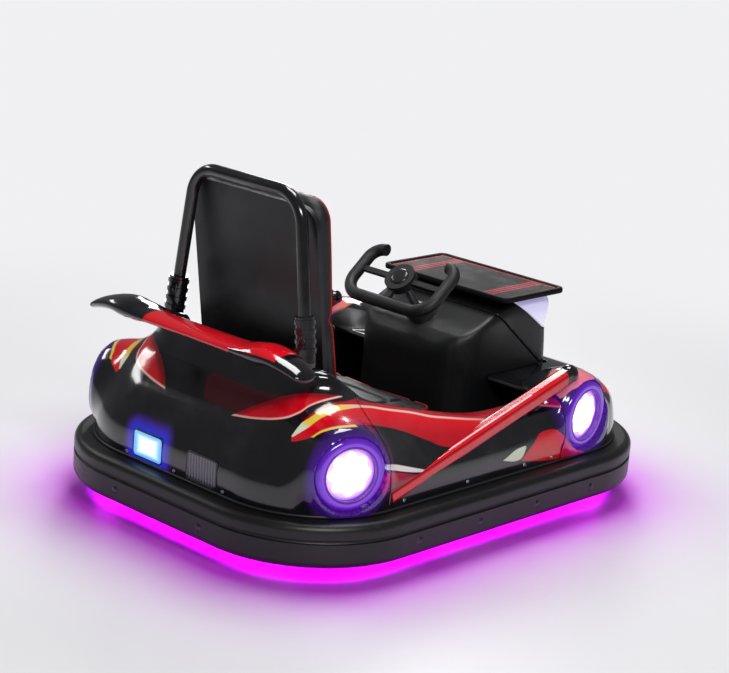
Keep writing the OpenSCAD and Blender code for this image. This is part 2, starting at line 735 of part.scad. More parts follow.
battery_l = 130;
battery_w = 330;
battery_h = 190;
battery_x = rear_x + sill_in + 2;
module battery_block() color([0.12, 0.12, 0.13])
    translate([battery_x, -battery_w / 2, deck_top]) cube([battery_l, battery_w, battery_h]);

drive_r = drive_d / 2;
// Steel of the drive unit: plate thickness, kingpin, axle, the fork's crown and cheeks
steel_t = 8;
kingpin_d = 24;
axle_d = 20;
crown_z = drive_d + 10;
crown_t = 12;
cheek_w = 48;
// Bridge over the drive unit, with the bush that its kingpin turns in
head_z = crown_z + 34;
head_w = 72;
head_boss = 36;
head_y = drive_sweep + 18;
module drive_head() color([0.35, 0.35, 0.37]) translate([drive_x, 0, 0]) difference() {
    union() {
        translate([0, 0, head_z - steel_t]) cylinder(d = kingpin_d + 40, h = head_boss);
        translate([-head_w / 2, -head_y, head_z]) cube([head_w, 2 * head_y, steel_t]);
        for (y = [head_y - steel_t, -head_y])
            translate([-head_w / 2, y, deck_top]) cube([head_w, steel_t, head_z - deck_top]);
    }
    translate([0, 0, crown_z]) cylinder(d = kingpin_d + 2 * bush_clear, h = through);
}

module drive_fork() color([0.5, 0.5, 0.52]) translate([drive_x, 0, 0]) {
    cheek_y = drive_w / 2 + steel_t;
    translate([0, 0, crown_z]) cylinder(d = kingpin_d, h = head_z + head_boss - 10 - crown_z);
    translate([-cheek_w / 2 - 8, -cheek_y - steel_t, crown_z])
        cube([cheek_w + 16, 2 * (cheek_y + steel_t), crown_t]);
    for (y = [cheek_y, -cheek_y - steel_t]) difference() {
        translate([-cheek_w / 2, y, drive_r - cheek_w / 2])
            cube([cheek_w, steel_t, crown_z - drive_r + cheek_w / 2]);
        translate([0, drive_w, drive_r]) rotate([90, 0, 0])
            cylinder(d = axle_d + 2 * bush_clear, h = 2 * drive_w);
    }
}

// Hub with its axle, inside a tyre whose wall it meets
tyre_t = 26;
module drive_hub() color([0.62, 0.62, 0.64]) translate([drive_x, 0, drive_r]) rotate([90, 0, 0]) {
    cylinder(r = drive_r - tyre_t, h = drive_w - 8, center = true);
    cylinder(d = axle_d, h = drive_w + 34, center = true);
}

module drive_tyre() color([0.05, 0.05, 0.05]) translate([drive_x, 0, drive_r]) rotate([90, 0, 0])
    rotate_extrude() difference() {
        round = 12;
        translate([drive_r - tyre_t, 0]) {
            translate([0, 2 - drive_w / 2]) square([tyre_t - round, drive_w - 4]);
            translate([0, round - drive_w / 2]) square([tyre_t, drive_w - 2 * round]);
            for (s = [-1, 1]) translate([tyre_t - round, s * (drive_w / 2 - round)]) circle(round);
        }
        translate([-drive_w, -drive_w]) square([drive_w, 2 * drive_w]);
    }

// Square top plates of the casters, bolted up under the deck
plate_a = 72;
bolt_pitch = 54;
module caster_bolts(h) for (x = [-1, 1], y = [-1, 1])
    translate([x * bolt_pitch / 2, y * bolt_pitch / 2, 0]) cylinder(d = 8, h = h);
module caster_plates() color([0.5, 0.5, 0.52])
    for (y = [-1, 1]) translate([caster_x, y * caster_y, deck_z - 5]) difference() {
        translate([-plate_a / 2, -plate_a / 2, 1]) cube([plate_a, plate_a, 4]);
        cylinder(d = 12 + 2 * bush_clear, h = 8);
        caster_bolts(8);
    }

caster_r = caster_d / 2;
module caster_fork(side) color([0.6, 0.6, 0.62]) translate([caster_x, side * caster_y, 0]) {
    top = deck_z - 4 - fit;
    race_h = 8;
    crown_z = caster_d + 6;
    cheek_t = 3;
    cheek_y = caster_w / 2 + cheek_t;
    cheek_x = -caster_trail - 12;
    translate([0, 0, top - race_h]) cylinder(d = 52, h = race_h);
    translate([0, 0, top - race_h]) cylinder(d = 12, h = race_h + 6);
    translate([cheek_x, -cheek_y - cheek_t, crown_z])
        cube([34 - cheek_x - 12, 2 * (cheek_y + cheek_t), top - race_h - crown_z]);
    for (y = [cheek_y, -cheek_y - cheek_t]) difference() {
        translate([cheek_x, y, caster_r - 12]) cube([34, cheek_t, crown_z - caster_r + 12]);
        translate([-caster_trail, caster_w, caster_r]) rotate([90, 0, 0])
            cylinder(d = 8 + 2 * bush_clear, h = 2 * caster_w);
    }
}
module caster_fork_left() caster_fork(1);
module caster_fork_right() caster_fork(-1);

module caster_wheel(side) color([0.1, 0.1, 0.11])
    translate([caster_x - caster_trail, side * caster_y, caster_r]) rotate([90, 0, 0]) {
        rotate_extrude() {
            translate([0, -caster_w / 2]) square([caster_r - 5, caster_w]);
            translate([0, 5 - caster_w / 2]) square([caster_r, caster_w - 10]);
            for (z = [-1, 1]) translate([caster_r - 5, z * (caster_w / 2 - 5)]) intersection() {
                circle(5);
                translate([0, -5]) square(10);
            }
        }
        cylinder(d = 8, h = caster_w + 14, center = true);
    }
module caster_wheel_left() caster_wheel(1);
module caster_wheel_right() caster_wheel(-1);

frame_tubes();
deck_plate();
sill_box();
bumper_ring();
underglow_strip();
rear_cowl();
side_pod_left();
side_pod_right();
nose_cowl();
pod_rear_left();
pod_rear_right();
pod_front_left();
pod_front_right();
corner_lenses();
rear_window_left();
rear_window_right();
side_bar_left();
side_bar_right();
rear_wing();
wing_tips();
seat_shell();
seat_cushion();
back_pad();
back_hoop();
console_cowl();
console_front();
front_lamp();
dash_tray();
pedals();
battery_block();
column_bush();
steering_shaft();
steering_yoke();
drive_head();
drive_fork();
drive_hub();
drive_tyre();
caster_plates();
caster_fork_left();
caster_fork_right();
caster_wheel_left();
caster_wheel_right();
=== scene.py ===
"""Looks of an electric bumper car: lit lamps, glossy shells, striped flanks, vinyl seat, underglow."""
import math

import bmesh
import bpy
import numpy as np
from mathutils import Matrix, Vector


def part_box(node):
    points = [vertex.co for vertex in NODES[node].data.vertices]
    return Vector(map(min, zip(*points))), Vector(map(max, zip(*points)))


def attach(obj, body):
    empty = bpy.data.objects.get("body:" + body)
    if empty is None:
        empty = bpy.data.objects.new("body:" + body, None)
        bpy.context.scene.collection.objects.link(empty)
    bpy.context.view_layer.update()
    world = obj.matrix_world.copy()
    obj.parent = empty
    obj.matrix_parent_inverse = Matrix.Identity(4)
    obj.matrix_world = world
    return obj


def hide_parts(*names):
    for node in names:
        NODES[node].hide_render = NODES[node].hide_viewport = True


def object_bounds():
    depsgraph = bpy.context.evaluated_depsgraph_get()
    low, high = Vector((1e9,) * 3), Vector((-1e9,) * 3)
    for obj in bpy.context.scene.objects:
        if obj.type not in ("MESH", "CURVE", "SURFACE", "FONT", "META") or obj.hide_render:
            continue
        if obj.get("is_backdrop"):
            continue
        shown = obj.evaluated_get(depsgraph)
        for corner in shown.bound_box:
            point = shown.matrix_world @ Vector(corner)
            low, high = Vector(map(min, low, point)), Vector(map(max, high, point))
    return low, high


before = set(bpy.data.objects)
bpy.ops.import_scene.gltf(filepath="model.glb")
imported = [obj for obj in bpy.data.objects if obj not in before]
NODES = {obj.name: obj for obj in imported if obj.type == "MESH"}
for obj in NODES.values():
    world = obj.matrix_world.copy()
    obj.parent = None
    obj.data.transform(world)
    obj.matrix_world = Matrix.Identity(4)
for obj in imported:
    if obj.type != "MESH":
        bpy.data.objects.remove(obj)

cad_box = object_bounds()


# The bumper ring's outline, which the shells follow
HALF_L, HALF_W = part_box("bumper_ring")[1].xy
RING_R = 0.290


def new_object(name, data):
    """An object in the scene for a mesh, a lamp or a camera."""
    piece = bpy.data.objects.new(name, data)
    bpy.context.scene.collection.objects.link(piece)
    return piece


# Camera

# Where the picture was taken from, in the car's own frame, and how far the camera leans
EYE = Vector((-3.481, -3.200, 1.70))
AIM = Vector((0.0, 0.012, 0.375))
ROLL = math.radians(4.6)
# The car fills the picture: focal length in pixels of a picture 729 wide
FOCAL_PX = 2060
PICTURE_W = 729


def add_camera():
    data = bpy.data.cameras.new("camera")
    data.sensor_fit = "HORIZONTAL"
    data.sensor_width = 36
    data.lens = FOCAL_PX / PICTURE_W * data.sensor_width
    camera = new_object("camera", data)
    look = (AIM - EYE).normalized()
    turn = look.to_track_quat("-Z", "Y").to_matrix() @ Matrix.Rotation(ROLL, 3, "Z")
    camera.matrix_world = Matrix.Translation(EYE) @ turn.to_4x4()
    bpy.context.scene.camera = camera


# Node trees

def by_node(operation):
    """A function of one or two values that adds a math node."""
    return lambda first, second=0.0: first.tree.math(operation, first, second)


class Value:
    """A value in a node tree, so that sums of values can be written with plain signs."""

    __add__, __sub__, __mul__ = by_node("ADD"), by_node("SUBTRACT"), by_node("MULTIPLY")
    __gt__, __lt__, __abs__ = by_node("GREATER_THAN"), by_node("LESS_THAN"), by_node("ABSOLUTE")

    def __init__(self, tree, socket):
        self.tree = tree
        self.socket = socket

    def __rsub__(self, first):
        return self.tree.math("SUBTRACT", first, self)


highest, lowest, root, sine = by_node("MAXIMUM"), by_node("MINIMUM"), by_node("SQRT"), by_node("SINE")


def distance(a, b):
    return root(a * a + b * b)


class Tree:
    """A material's node tree, with short calls for the nodes that the finishes share."""

    def __init__(self, name):
        self.material = bpy.data.materials.new(name)
        self.material.use_nodes = True
        self.nodes = self.material.node_tree.nodes
        self.links = self.material.node_tree.links
        self.shader = self.nodes["Principled BSDF"]
        self.place = self.add("ShaderNodeTexCoord", out="Object")
        axes = self.node("ShaderNodeSeparateXYZ", {0: self.place})
        self.x, self.y, self.z = (Value(self, socket) for socket in axes.outputs)

    def put(self, value, socket):
        if isinstance(value, Value):
            self.links.new(value.socket, socket)
        elif socket.type == "RGBA":
            socket.default_value = (*value, 1)
        else:
            socket.default_value = value

    def node(self, kind, inputs=None, **settings):
        node = self.nodes.new(kind)
        for key, value in settings.items():
            setattr(node, key, value)
        for key, value in (inputs or {}).items():
            self.put(value, node.inputs[key])
        return node

    def add(self, kind, inputs=None, out=0, **settings):
        """One output of a new node."""
        return Value(self, self.node(kind, inputs, **settings).outputs[out])

    def math(self, operation, a, b=0.0):
        return self.add("ShaderNodeMath", {0: a, 1: b}, operation=operation)

    def vector(self, operation, *inputs, out=0):
        return self.add("ShaderNodeVectorMath", dict(enumerate(inputs)), out, operation=operation)

    def step(self, value, low, high):
        """0 below low, 1 above high, smooth between."""
        return self.add("ShaderNodeMapRange", {0: value, 1: low, 2: high}, interpolation_type="SMOOTHSTEP")

    def share(self, value, low, high, clamp=True):
        """0 at low, 1 at high, straight between."""
        return self.add("ShaderNodeMapRange", {0: value, 1: low, 2: high}, clamp=clamp)

    def between(self, share, low, high):
        return self.add("ShaderNodeMapRange", {0: share, 3: low, 4: high})

    def span(self, value, low, high):
        """1 where the value lies between the two, with a hair's breadth of blur."""
        return self.step(value - low, -BLUR, BLUR) * self.step(high - value, -BLUR, BLUR)

    def noise(self, scale, detail=2.0, rough=0.5, stretch=None):
        place = self.vector("MULTIPLY", self.place, stretch) if stretch else self.place
        inputs = {"Vector": place, "Scale": scale, "Detail": detail, "Roughness": rough}
        return self.add("ShaderNodeTexNoise", inputs)

    def cells(self, scale):
        return self.add("ShaderNodeTexVoronoi", {"Vector": self.place, "Scale": scale}, "Distance")

    def mix(self, share, a, b):
        return self.add("ShaderNodeMix", {0: share, 6: a, 7: b}, 2, data_type="RGBA")

    def shaded(self, colour, share):
        """The colour times a number."""
        return self.add("ShaderNodeVectorMath", {0: colour, 3: share}, operation="SCALE")

    def lighter(self, colour, times):
        """The colour of a rubbed place."""
        return self.vector("MULTIPLY_ADD", colour, (times,) * 3, (0.004,) * 3)

    def curve(self, value, points):
        """Smooth curve through points (x, y)."""
        x0, x1 = points[0][0], points[-1][0]
        low, high = (pick(y for _, y in points) for pick in (min, max))
        node = self.node("ShaderNodeFloatCurve", {1: self.share(value, x0, x1)})
        line = node.mapping.curves[0]
        while len(line.points) < len(points):
            line.points.new(0.5, 0.5)
        for spot, (x, y) in zip(line.points, points):
            spot.location = ((x - x0) / (x1 - x0), (y - low) / (high - low))
            spot.handle_type = "AUTO_CLAMPED"
        node.mapping.update()
        return self.between(Value(self, node.outputs[0]), low, high)

    def bump(self, height, strength, distance):
        inputs = {"Height": height, "Strength": strength, "Distance": distance}
        self.put(self.add("ShaderNodeBump", inputs), self.shader.inputs["Normal"])

    def set(self, **values):
        names = {"colour": "Base Color", "rough": "Roughness", "metal": "Metallic", "coat": "Coat Weight",
                 "coat_rough": "Coat Roughness", "specular": "Specular IOR Level", "glow": "Emission Color",
                 "glow_strength": "Emission Strength"}
        for key, value in values.items():
            self.put(value, self.shader.inputs[names[key]])


def srgb(r, g, b):
    """A colour given as the screen shows it, 0 to 255, in the shaders' linear numbers."""
    return tuple(((c / 255 + 0.055) / 1.055) ** 2.4 if c > 10 else c / 255 / 12.92 for c in (r, g, b))


# Colours of the car

BLACK = srgb(15, 15, 19)
RED = srgb(222, 8, 30)
CRIMSON = srgb(200, 10, 62)
BLUSH = srgb(246, 190, 180)
YELLOW = srgb(236, 206, 70)
SALMON = srgb(238, 128, 108)
VIOLET = srgb(74, 18, 150)
CREAM = srgb(226, 232, 206)
BACKDROP = srgb(240, 240, 243)


# Finishes: each fills a material's node tree and gives the material back

def gloss(t, colour, rough=0.16, coat=0.7, dull=0.0):
    """Moulded, polished plastic: a clear coat, faint orange peel, dust in patches and fine swirl scratches."""
    dust = t.step(t.noise(5, 5, 0.62), 0.45, 0.72)
    swirl = t.step(t.noise(38, 3, 0.7, stretch=(1, 1, 7)), 0.56, 0.70)
    haze = t.between(dust, rough - 0.03, rough + 0.09) + swirl * 0.05 + dull * 0.35
    t.set(colour=t.mix(dust * 0.05, colour, srgb(150, 146, 150)), rough=haze, coat=coat, coat_rough=0.05)
    t.bump(t.noise(70, 2) + t.noise(620, 1) * 0.12, 0.10, 0.0015)
    return t.material


def satin(t, colour, rough=0.42, grain=1400, depth=0.0004):
    """Textured moulding: fine leather-like grain with rubbed, shinier patches."""
    rubbed = t.step(t.noise(7, 4, 0.6), 0.42, 0.66)
    t.set(colour=t.mix(rubbed * 0.25, colour, t.lighter(colour, 1.7)),
          rough=t.between(rubbed, rough + 0.08, rough - 0.06))
    t.bump(t.cells(grain) + t.noise(90, 2) * 0.3, 0.35, depth)
    return t.material


def metal(t, colour, rough=0.3, brushed=(1, 1, 1)):
    """Metal with a drawn grain and darker, duller handling marks."""
    marks = t.step(t.noise(14, 5, 0.65), 0.5, 0.72)
    lines = t.noise(160, 3, 0.6, stretch=brushed)
    t.set(colour=t.mix(marks * 0.5, colour, tuple(c * 0.55 for c in colour)), metal=1.0,
          rough=t.between(lines, rough - 0.08, rough + 0.1) + marks * 0.12)
    t.bump(lines, 0.12, 0.0003)
    return t.material


def painted(t, colour):
    """Sprayed steel: slight texture, a few chips down to grey primer."""
    chips = t.step(t.noise(55, 6, 0.7), 0.69, 0.71)
    t.set(colour=t.mix(chips, colour, srgb(92, 90, 88)),
          rough=t.between(t.noise(9, 4), 0.28, 0.44) + chips * 0.2)
    t.bump(t.noise(380, 2) * 0.4 - chips, 0.3, 0.0004)
    return t.material


def rubber(t, colour, rough=0.5):
    """Rubber with a fine pebble, grey scuffs that run along the floor, and dust in the lows."""
    scuff = t.step(t.noise(9, 6, 0.7, stretch=(1, 1, 6)), 0.60, 0.72)
    dust = t.noise(3.5, 5, 0.6)
    dusty = t.mix(dust * 0.03, colour, srgb(120, 116, 112))
    t.set(colour=t.mix(scuff * 0.12, dusty, srgb(104, 101, 99)),
          rough=t.between(dust, rough - 0.1, rough + 0.12) + scuff * 0.2)
    t.bump(t.cells(900) + scuff * 0.5, 0.25, 0.0005)
    return t.material


def vinyl(t, colour, rough=0.36):
    """Upholstery vinyl: leather grain, soft creases, and a shine where it has been sat on."""
    worn = t.step(t.noise(6, 4, 0.6), 0.46, 0.66)
    creases = t.noise(46, 4, 0.6, stretch=(1, 2.4, 1))
    t.set(colour=t.mix(worn * 0.35, colour, t.lighter(colour, 2.0)),
          rough=t.between(worn, rough + 0.1, rough - 0.08), specular=0.45)
    t.bump(t.cells(820) + creases * 0.8, 0.4, 0.0007)
    return t.material


# Paint scheme of the shells

# The stripes are laid out as seen from behind at an angle: these are the directions of that drawing
LOOK_TURN = math.radians(42.6)
LOOK_DOWN = math.radians(17.0)
ACROSS = (math.sin(LOOK_TURN), math.cos(LOOK_TURN), 0)
UPWARDS = (math.sin(LOOK_DOWN) * math.cos(LOOK_TURN), -math.sin(LOOK_DOWN) * math.sin(LOOK_TURN),
           math.cos(LOOK_DOWN))
# Lines on the shells. Columns: place along the car, distance from its middle, height
SWOOSH_LOW = [(-0.538, 0.111, 0.307), (-0.529, 0.174, 0.315), (-0.513, 0.236, 0.329), (-0.491, 0.264, 0.344),
              (-0.464, 0.276, 0.361), (-0.442, 0.288, 0.370), (-0.398, 0.304, 0.378)]
SWOOSH_TOP = [(-0.538, 0.111, 0.308), (-0.515, 0.139, 0.328), (-0.494, 0.171, 0.348), (-0.476, 0.213, 0.370),
              (-0.458, 0.247, 0.381), (-0.430, 0.281, 0.384), (-0.398, 0.304, 0.380)]
STRIPE_TOP = [(-0.522, 0.283, 0.308), (-0.508, 0.284, 0.322), (-0.476, 0.289, 0.348), (-0.428, 0.302, 0.368),
              (-0.378, 0.314, 0.371), (-0.345, 0.316, 0.380), (-0.300, 0.316, 0.420)]
STRIPE_EDGE = [(-0.522, 0.287, 0.306), (-0.499, 0.306, 0.327), (-0.461, 0.317, 0.349), (-0.411, 0.326, 0.358),
               (-0.338, 0.329, 0.350), (-0.291, 0.336, 0.338), (-0.224, 0.351, 0.323), (-0.157, 0.371, 0.306),
               (-0.067, 0.385, 0.289), (0.032, 0.393, 0.275), (0.132, 0.360, 0.285)]
BAND_LOW = [(-0.526, 0.297, 0.299), (-0.514, 0.323, 0.311), (-0.489, 0.347, 0.333), (-0.455, 0.373, 0.343),
            (-0.381, 0.373, 0.331), (-0.318, 0.365, 0.313), (-0.275, 0.378, 0.299), (-0.213, 0.399, 0.272),
            (-0.153, 0.413, 0.249), (-0.060, 0.408, 0.240), (0.130, 0.385, 0.290)]
# Patches low on the flanks. Columns: place along the car, height
WHITE_TOP = [(-0.390, 0.262), (-0.310, 0.238), (-0.225, 0.212)]
WHITE_LOW = [(-0.390, 0.250), (-0.288, 0.221), (-0.225, 0.211)]
CRIMSON_TOP = [(-0.392, 0.244), (-0.262, 0.210)]
CRIMSON_LOW = [(-0.392, 0.190), (-0.262, 0.209)]
# The cream sliver ahead of the middle is a painted reflection
REFLECTION_TOP = [(0.018, 0.189), (0.097, 0.208), (0.104, 0.206)]
REFLECTION_LOW = [(0.018, 0.188), (0.073, 0.178), (0.104, 0.205)]
FLARE_TOP = [(0.085, 0.176), (0.128, 0.206), (0.171, 0.229), (0.203, 0.228), (0.231, 0.211), (0.265, 0.177),
             (0.335, 0.147)]
FLARE_LOW = [(0.085, 0.175), (0.160, 0.160), (0.234, 0.150), (0.335, 0.146)]
HUMP_LOW = [(0.236, 0.292), (0.275, 0.316), (0.325, 0.326), (0.385, 0.318), (0.425, 0.300)]
LEGROOM = (0.02, 0, 0.28)
BLUR = 0.0011
# How far a patch's sides lie within its edges' ends
TRIMMED = 0.002


def drawn(points):
    """A line's points in the slanting drawing."""
    return [tuple(sum(a * b for a, b in zip(point, way)) for way in (ACROSS, UPWARDS)) for point in points]


def livery(t):
    """Colour of the shells: black with a red swoosh at the rear and striped flanks, the same on both sides,
    with painted highlights, a painted reflection and painted shade among them.
    """
    x, y, z = t.x, abs(t.y), t.z
    folded = t.add("ShaderNodeCombineXYZ", {0: x, 1: y, 2: z})
    along, up = (t.vector("DOT_PRODUCT", folded, way, out="Value") for way in (ACROSS, UPWARDS))
    colour = BLACK
    # Patches on the flank; the cream sliver among them is a painted reflection, and the crimson patch is
    # darker towards its foot
    side = t.step(y, 0.372, 0.380)
    crimson = t.mix(t.step(z, 0.19, 0.24), srgb(130, 6, 42), CRIMSON)
    for low, top, paint in ((CRIMSON_LOW, CRIMSON_TOP, crimson), (WHITE_LOW, WHITE_TOP, srgb(240, 228, 228)),
                            (REFLECTION_LOW, REFLECTION_TOP, CREAM), (FLARE_LOW, FLARE_TOP, RED)):
        reach = t.span(x, low[0][0] + TRIMMED, low[-1][0] - TRIMMED)
        colour = t.mix(t.span(z, t.curve(x, low), t.curve(x, top)) * side * reach, colour, paint)
    # Red band along the flank with the rim over it, its red darker further down and over its edge line, a
    # yellow painted highlight at its foot, and a pale line in it that is partly painted highlight
    edge, low, top = (t.curve(along, drawn(line)) for line in (STRIPE_EDGE, BAND_LOW, STRIPE_TOP))
    open_side = highest(t.step(y, 0.312, 0.318), x < -0.362)
    flank = open_side * (x < 0.236) * (along > drawn(STRIPE_TOP)[0][0])
    below = edge - up
    red = t.mix(t.step(below, 0.0, 0.045), RED, srgb(190, 6, 28))
    red = t.mix(t.step(below, -0.002, -0.004), red, srgb(176, 8, 30))
    colour = t.mix(t.span(up, low, top) * flank, colour, red)
    # Painted highlight: a thin yellow line along the band's foot near the rear
    foot = t.span(up, low - 0.004, low + 0.001) * flank * t.span(x, -0.512, -0.43)
    colour = t.mix(foot, colour, YELLOW)
    # The pale line is a cream and yellow stripe at the rear; further forward it is a painted highlight along
    # the rim's top, fading towards the nose
    pale = t.mix(t.step(x, -0.505, -0.490), CREAM, YELLOW)
    pale = t.mix(t.step(x, -0.43, -0.36), pale, BLUSH)
    width = t.between(t.step(x, -0.49, -0.33), 0.020, 0.0045)
    fade = t.between(t.step(x, -0.20, 0.10), 1.0, 0.25)
    colour = t.mix(t.span(up, edge, lowest(top, edge + width)) * flank * fade, colour, pale)
    # Hump over the front lamp
    hump = t.step(z - t.curve(x, HUMP_LOW), -BLUR, BLUR) * t.span(x, 0.238, 0.42) * t.step(y, 0.335, 0.345)
    colour = t.mix(hump, colour, SALMON)
    # Swoosh round the rear corner, lined with a pale edge, its red darker along its top edge as painted shade
    low, top = (t.curve(along, drawn(line)) for line in (SWOOSH_LOW, SWOOSH_TOP))
    reach = t.span(along, drawn(SWOOSH_LOW)[0][0], drawn(SWOOSH_LOW)[-1][0])
    swoosh = reach * t.span(up, low, top) * (x < -0.38)
    # Painted shade: darker red along the swoosh's top edge
    body = t.mix(t.step(top - up, 0.004, 0.016), srgb(150, 6, 22), RED)
    colour = t.mix(swoosh, colour, t.mix(t.span(up, low, low + 0.0045), body, BLUSH))
    # Flash across the nose
    rise = y * 0.20 + 0.170
    ahead = (x > 0.42) * t.span(y, 0.045, 0.37)
    thick = t.between(t.step(y, 0.04, 0.30), 0.006, 0.034)
    colour = t.mix(ahead * t.span(z, rise, rise + thick), colour, RED)
    return t.mix(ahead * t.span(z, rise - 0.005, rise), colour, BLUSH)


def facing_seat(t):
    """1 on the walls that face the seat."""
    toward = t.vector("NORMALIZE", t.vector("SUBTRACT", LEGROOM, t.place))
    normal = t.add("ShaderNodeNewGeometry", out="Normal")
    return t.step(t.vector("DOT_PRODUCT", normal, toward, out="Value"), 0.25, 0.40)


def shell_finish():
    """The livery over glossy shells; the walls that face the seat are plain black and duller."""
    t = Tree("shell_paint")
    inner = facing_seat(t)
    gloss(t, t.mix(inner, livery(t), BLACK), 0.15, coat=t.between(inner, 0.7, 0.05), dull=inner)
    spill(t)
    return t.material


def assign(material, *names):
    """Gives a finish to every slot of the nodes."""
    for name in names:
        slots = NODES[name].data.materials
        for i in range(len(slots)):
            slots[i] = material
        if not slots:
            slots.append(material)


# Lamps

POD_R = 0.084
LENS_R = 0.059
# Lens faces. Columns: place along the car, distance from its middle, height, yaw in degrees
REAR_LAMP = (-0.458, 0.402, 0.242, -20)
FRONT_LAMP = (0.323, 0.420, 0.242, 5)


def lamp_polar(t):
    """Distance from the axis of the nearer corner lamp, and the angle round it."""
    ahead = t.x > 0.0
    rear_turn, front_turn = (math.radians(lamp[3]) for lamp in (REAR_LAMP, FRONT_LAMP))
    dx = t.x - t.between(ahead, REAR_LAMP[0], FRONT_LAMP[0])
    dy = abs(t.y) - t.between(ahead, REAR_LAMP[1], FRONT_LAMP[1])
    along = (dx * t.between(ahead, math.cos(rear_turn), math.cos(front_turn))
             - dy * t.between(ahead, math.sin(rear_turn), math.sin(front_turn)))
    up = t.z - REAR_LAMP[2]
    return distance(along, up), t.math("ARCTAN2", up, along)


def lens_finish():
    """Lens over a ring of bright diodes: white petals on lavender, violet towards the rim."""
    t = Tree("lens_lit")
    radius, angle = lamp_polar(t)
    reach = t.math("COSINE", angle * 8.0) * 0.0042 + 0.046
    bright = t.step(reach - radius, -0.004, 0.004)
    blotch = t.step(t.noise(34, 3), 0.40, 0.62)
    white = t.mix(blotch * 0.35, srgb(255, 252, 255), srgb(238, 205, 255))
    rim = t.mix(t.step(radius, 0.050, 0.059), srgb(206, 150, 255), srgb(146, 70, 250))
    t.set(colour=srgb(225, 215, 240), rough=0.18, coat=0.8, glow=t.mix(bright, rim, white),
          glow_strength=t.between(bright, 1.0, 2.2))
    t.bump(sine(radius * 1500.0) * 0.5 + t.cells(260), 0.2, 0.0008)
    return t.material


def pod_finish():
    """Translucent violet barrel, lit from inside: bright by the lens, dark at its edge."""
    t = Tree("pod_violet")
    gloss(t, VIOLET, 0.14)
    radius, _ = lamp_polar(t)
    near = t.step(radius, POD_R + 0.004, LENS_R - 0.002)
    t.set(glow=t.mix(near, srgb(42, 4, 120), srgb(150, 62, 246)), glow_strength=t.between(near, 0.35, 0.85))
    return t.material


WINDOW_LOW, WINDOW_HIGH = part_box("rear_window_left")


def off_window(t):
    """Distances from the lit window's middle, over and up, each with half the window's size that way."""
    middle, half = (WINDOW_LOW + WINDOW_HIGH) / 2, (WINDOW_HIGH - WINDOW_LOW) / 2
    return (abs(t.y - middle.y), half.y), (abs(t.z - middle.z), half.z)


def spill(t):
    """Coloured light that the lamps and the lit window throw on the shells round them."""
    radius, _ = lamp_polar(t)
    violet = t.step(radius, POD_R + 0.050, POD_R - 0.012)
    violet = violet * violet * t.step(abs(t.y), 0.345, 0.365)
    away = distance(*(highest(off - half, 0.0) for off, half in off_window(t)))
    blue = t.step(away, 0.040, 0.0) * (t.x < -0.5)
    t.set(glow=t.mix(blue, srgb(120, 30, 235), srgb(20, 60, 255)),
          glow_strength=highest(violet * 0.30, blue * 0.55))


def window_lit():
    """Rows of blue-white diodes behind a clear window, dimmer towards its edges."""
    t = Tree("window_lit")
    edge = highest(*(off * (1 / half) for off, half in off_window(t)))
    middle = t.step(edge, 0.95, 0.35)
    rows = t.between(sine(t.z * 560.0), 0.86, 1.0)
    shade = t.shaded(t.mix(middle, srgb(60, 150, 255), srgb(214, 246, 255)), rows)
    t.set(colour=srgb(150, 190, 230), rough=0.12, coat=0.8, glow=shade,
          glow_strength=t.between(middle, 1.0, 1.7))
    t.bump(rows, 0.3, 0.0008)
    return t.material


def window_dark():
    """The same window unlit: smoked plastic over ribbed reflectors, with painted highlights as paler stripes
    on the ribs.
    """
    t = Tree("window_dark")
    gloss(t, srgb(58, 56, 70), 0.12)
    ribs = sine(t.y * 700.0)
    # Painted highlights: paler stripes along the ribs' crests
    t.set(colour=t.mix(t.step(ribs, -0.2, 0.6), srgb(40, 38, 52), srgb(92, 88, 106)))
    t.bump(ribs, 0.3, 0.001)
    return t.material


def strip_finish():
    """Diode strip of the underglow: a row of bright chips under a milky sleeve."""
    t = Tree("underglow")
    chips = t.step(t.cells(95), 0.55, 0.2)
    t.set(colour=srgb(235, 190, 240), rough=0.3, glow=t.mix(chips, srgb(214, 20, 240), srgb(240, 60, 255)),
          glow_strength=t.between(chips, 26, 44))
    t.bump(chips, 0.2, 0.001)
    return t.material


# Ends of the flank bar's middle line
BAR_LOW = Vector((-0.352, 0.414, 0.176))
BAR_HIGH = Vector((0.282, 0.392, 0.342))


def bar_finish():
    """Raised flank bar: red on its outer and upper faces, lined in black, with a pale line near its middle;
    the pale line is a painted highlight and the black under the bar is painted shade.
    """
    t = Tree("bar_paint")
    share = t.share(t.x, BAR_LOW.x, BAR_HIGH.x, clamp=False)
    off_y, off_z = (value - (share * (BAR_HIGH[k] - BAR_LOW[k]) + BAR_LOW[k])
                    for value, k in ((abs(t.y), 1), (t.z, 2)))
    turn = t.math("ARCTAN2", off_z, off_y)

    def line(low, high, blur):
        return t.step(turn, low, low + blur) * t.step(turn, high, high - blur)

    # Red over the outer and upper faces, black beyond them: painted shade under the bar, black on its inner
    # side
    colour = t.mix(line(-0.62, 2.06, 0.08), BLACK, RED)
    for low, high in ((0.52, 0.68), (1.48, 1.70)):
        colour = t.mix(line(low, high, 0.04), colour, srgb(120, 4, 18))
    # Painted highlight: a pale line along the upper face, near the middle of the bar
    colour = t.mix(line(1.02, 1.26, 0.04) * t.span(t.x, -0.16, 0.13), colour, srgb(255, 214, 222))
    colour = t.mix(t.step(t.x, BAR_HIGH.x - 0.027, BAR_HIGH.x - 0.025), colour, BLACK)
    return gloss(t, colour, 0.14)


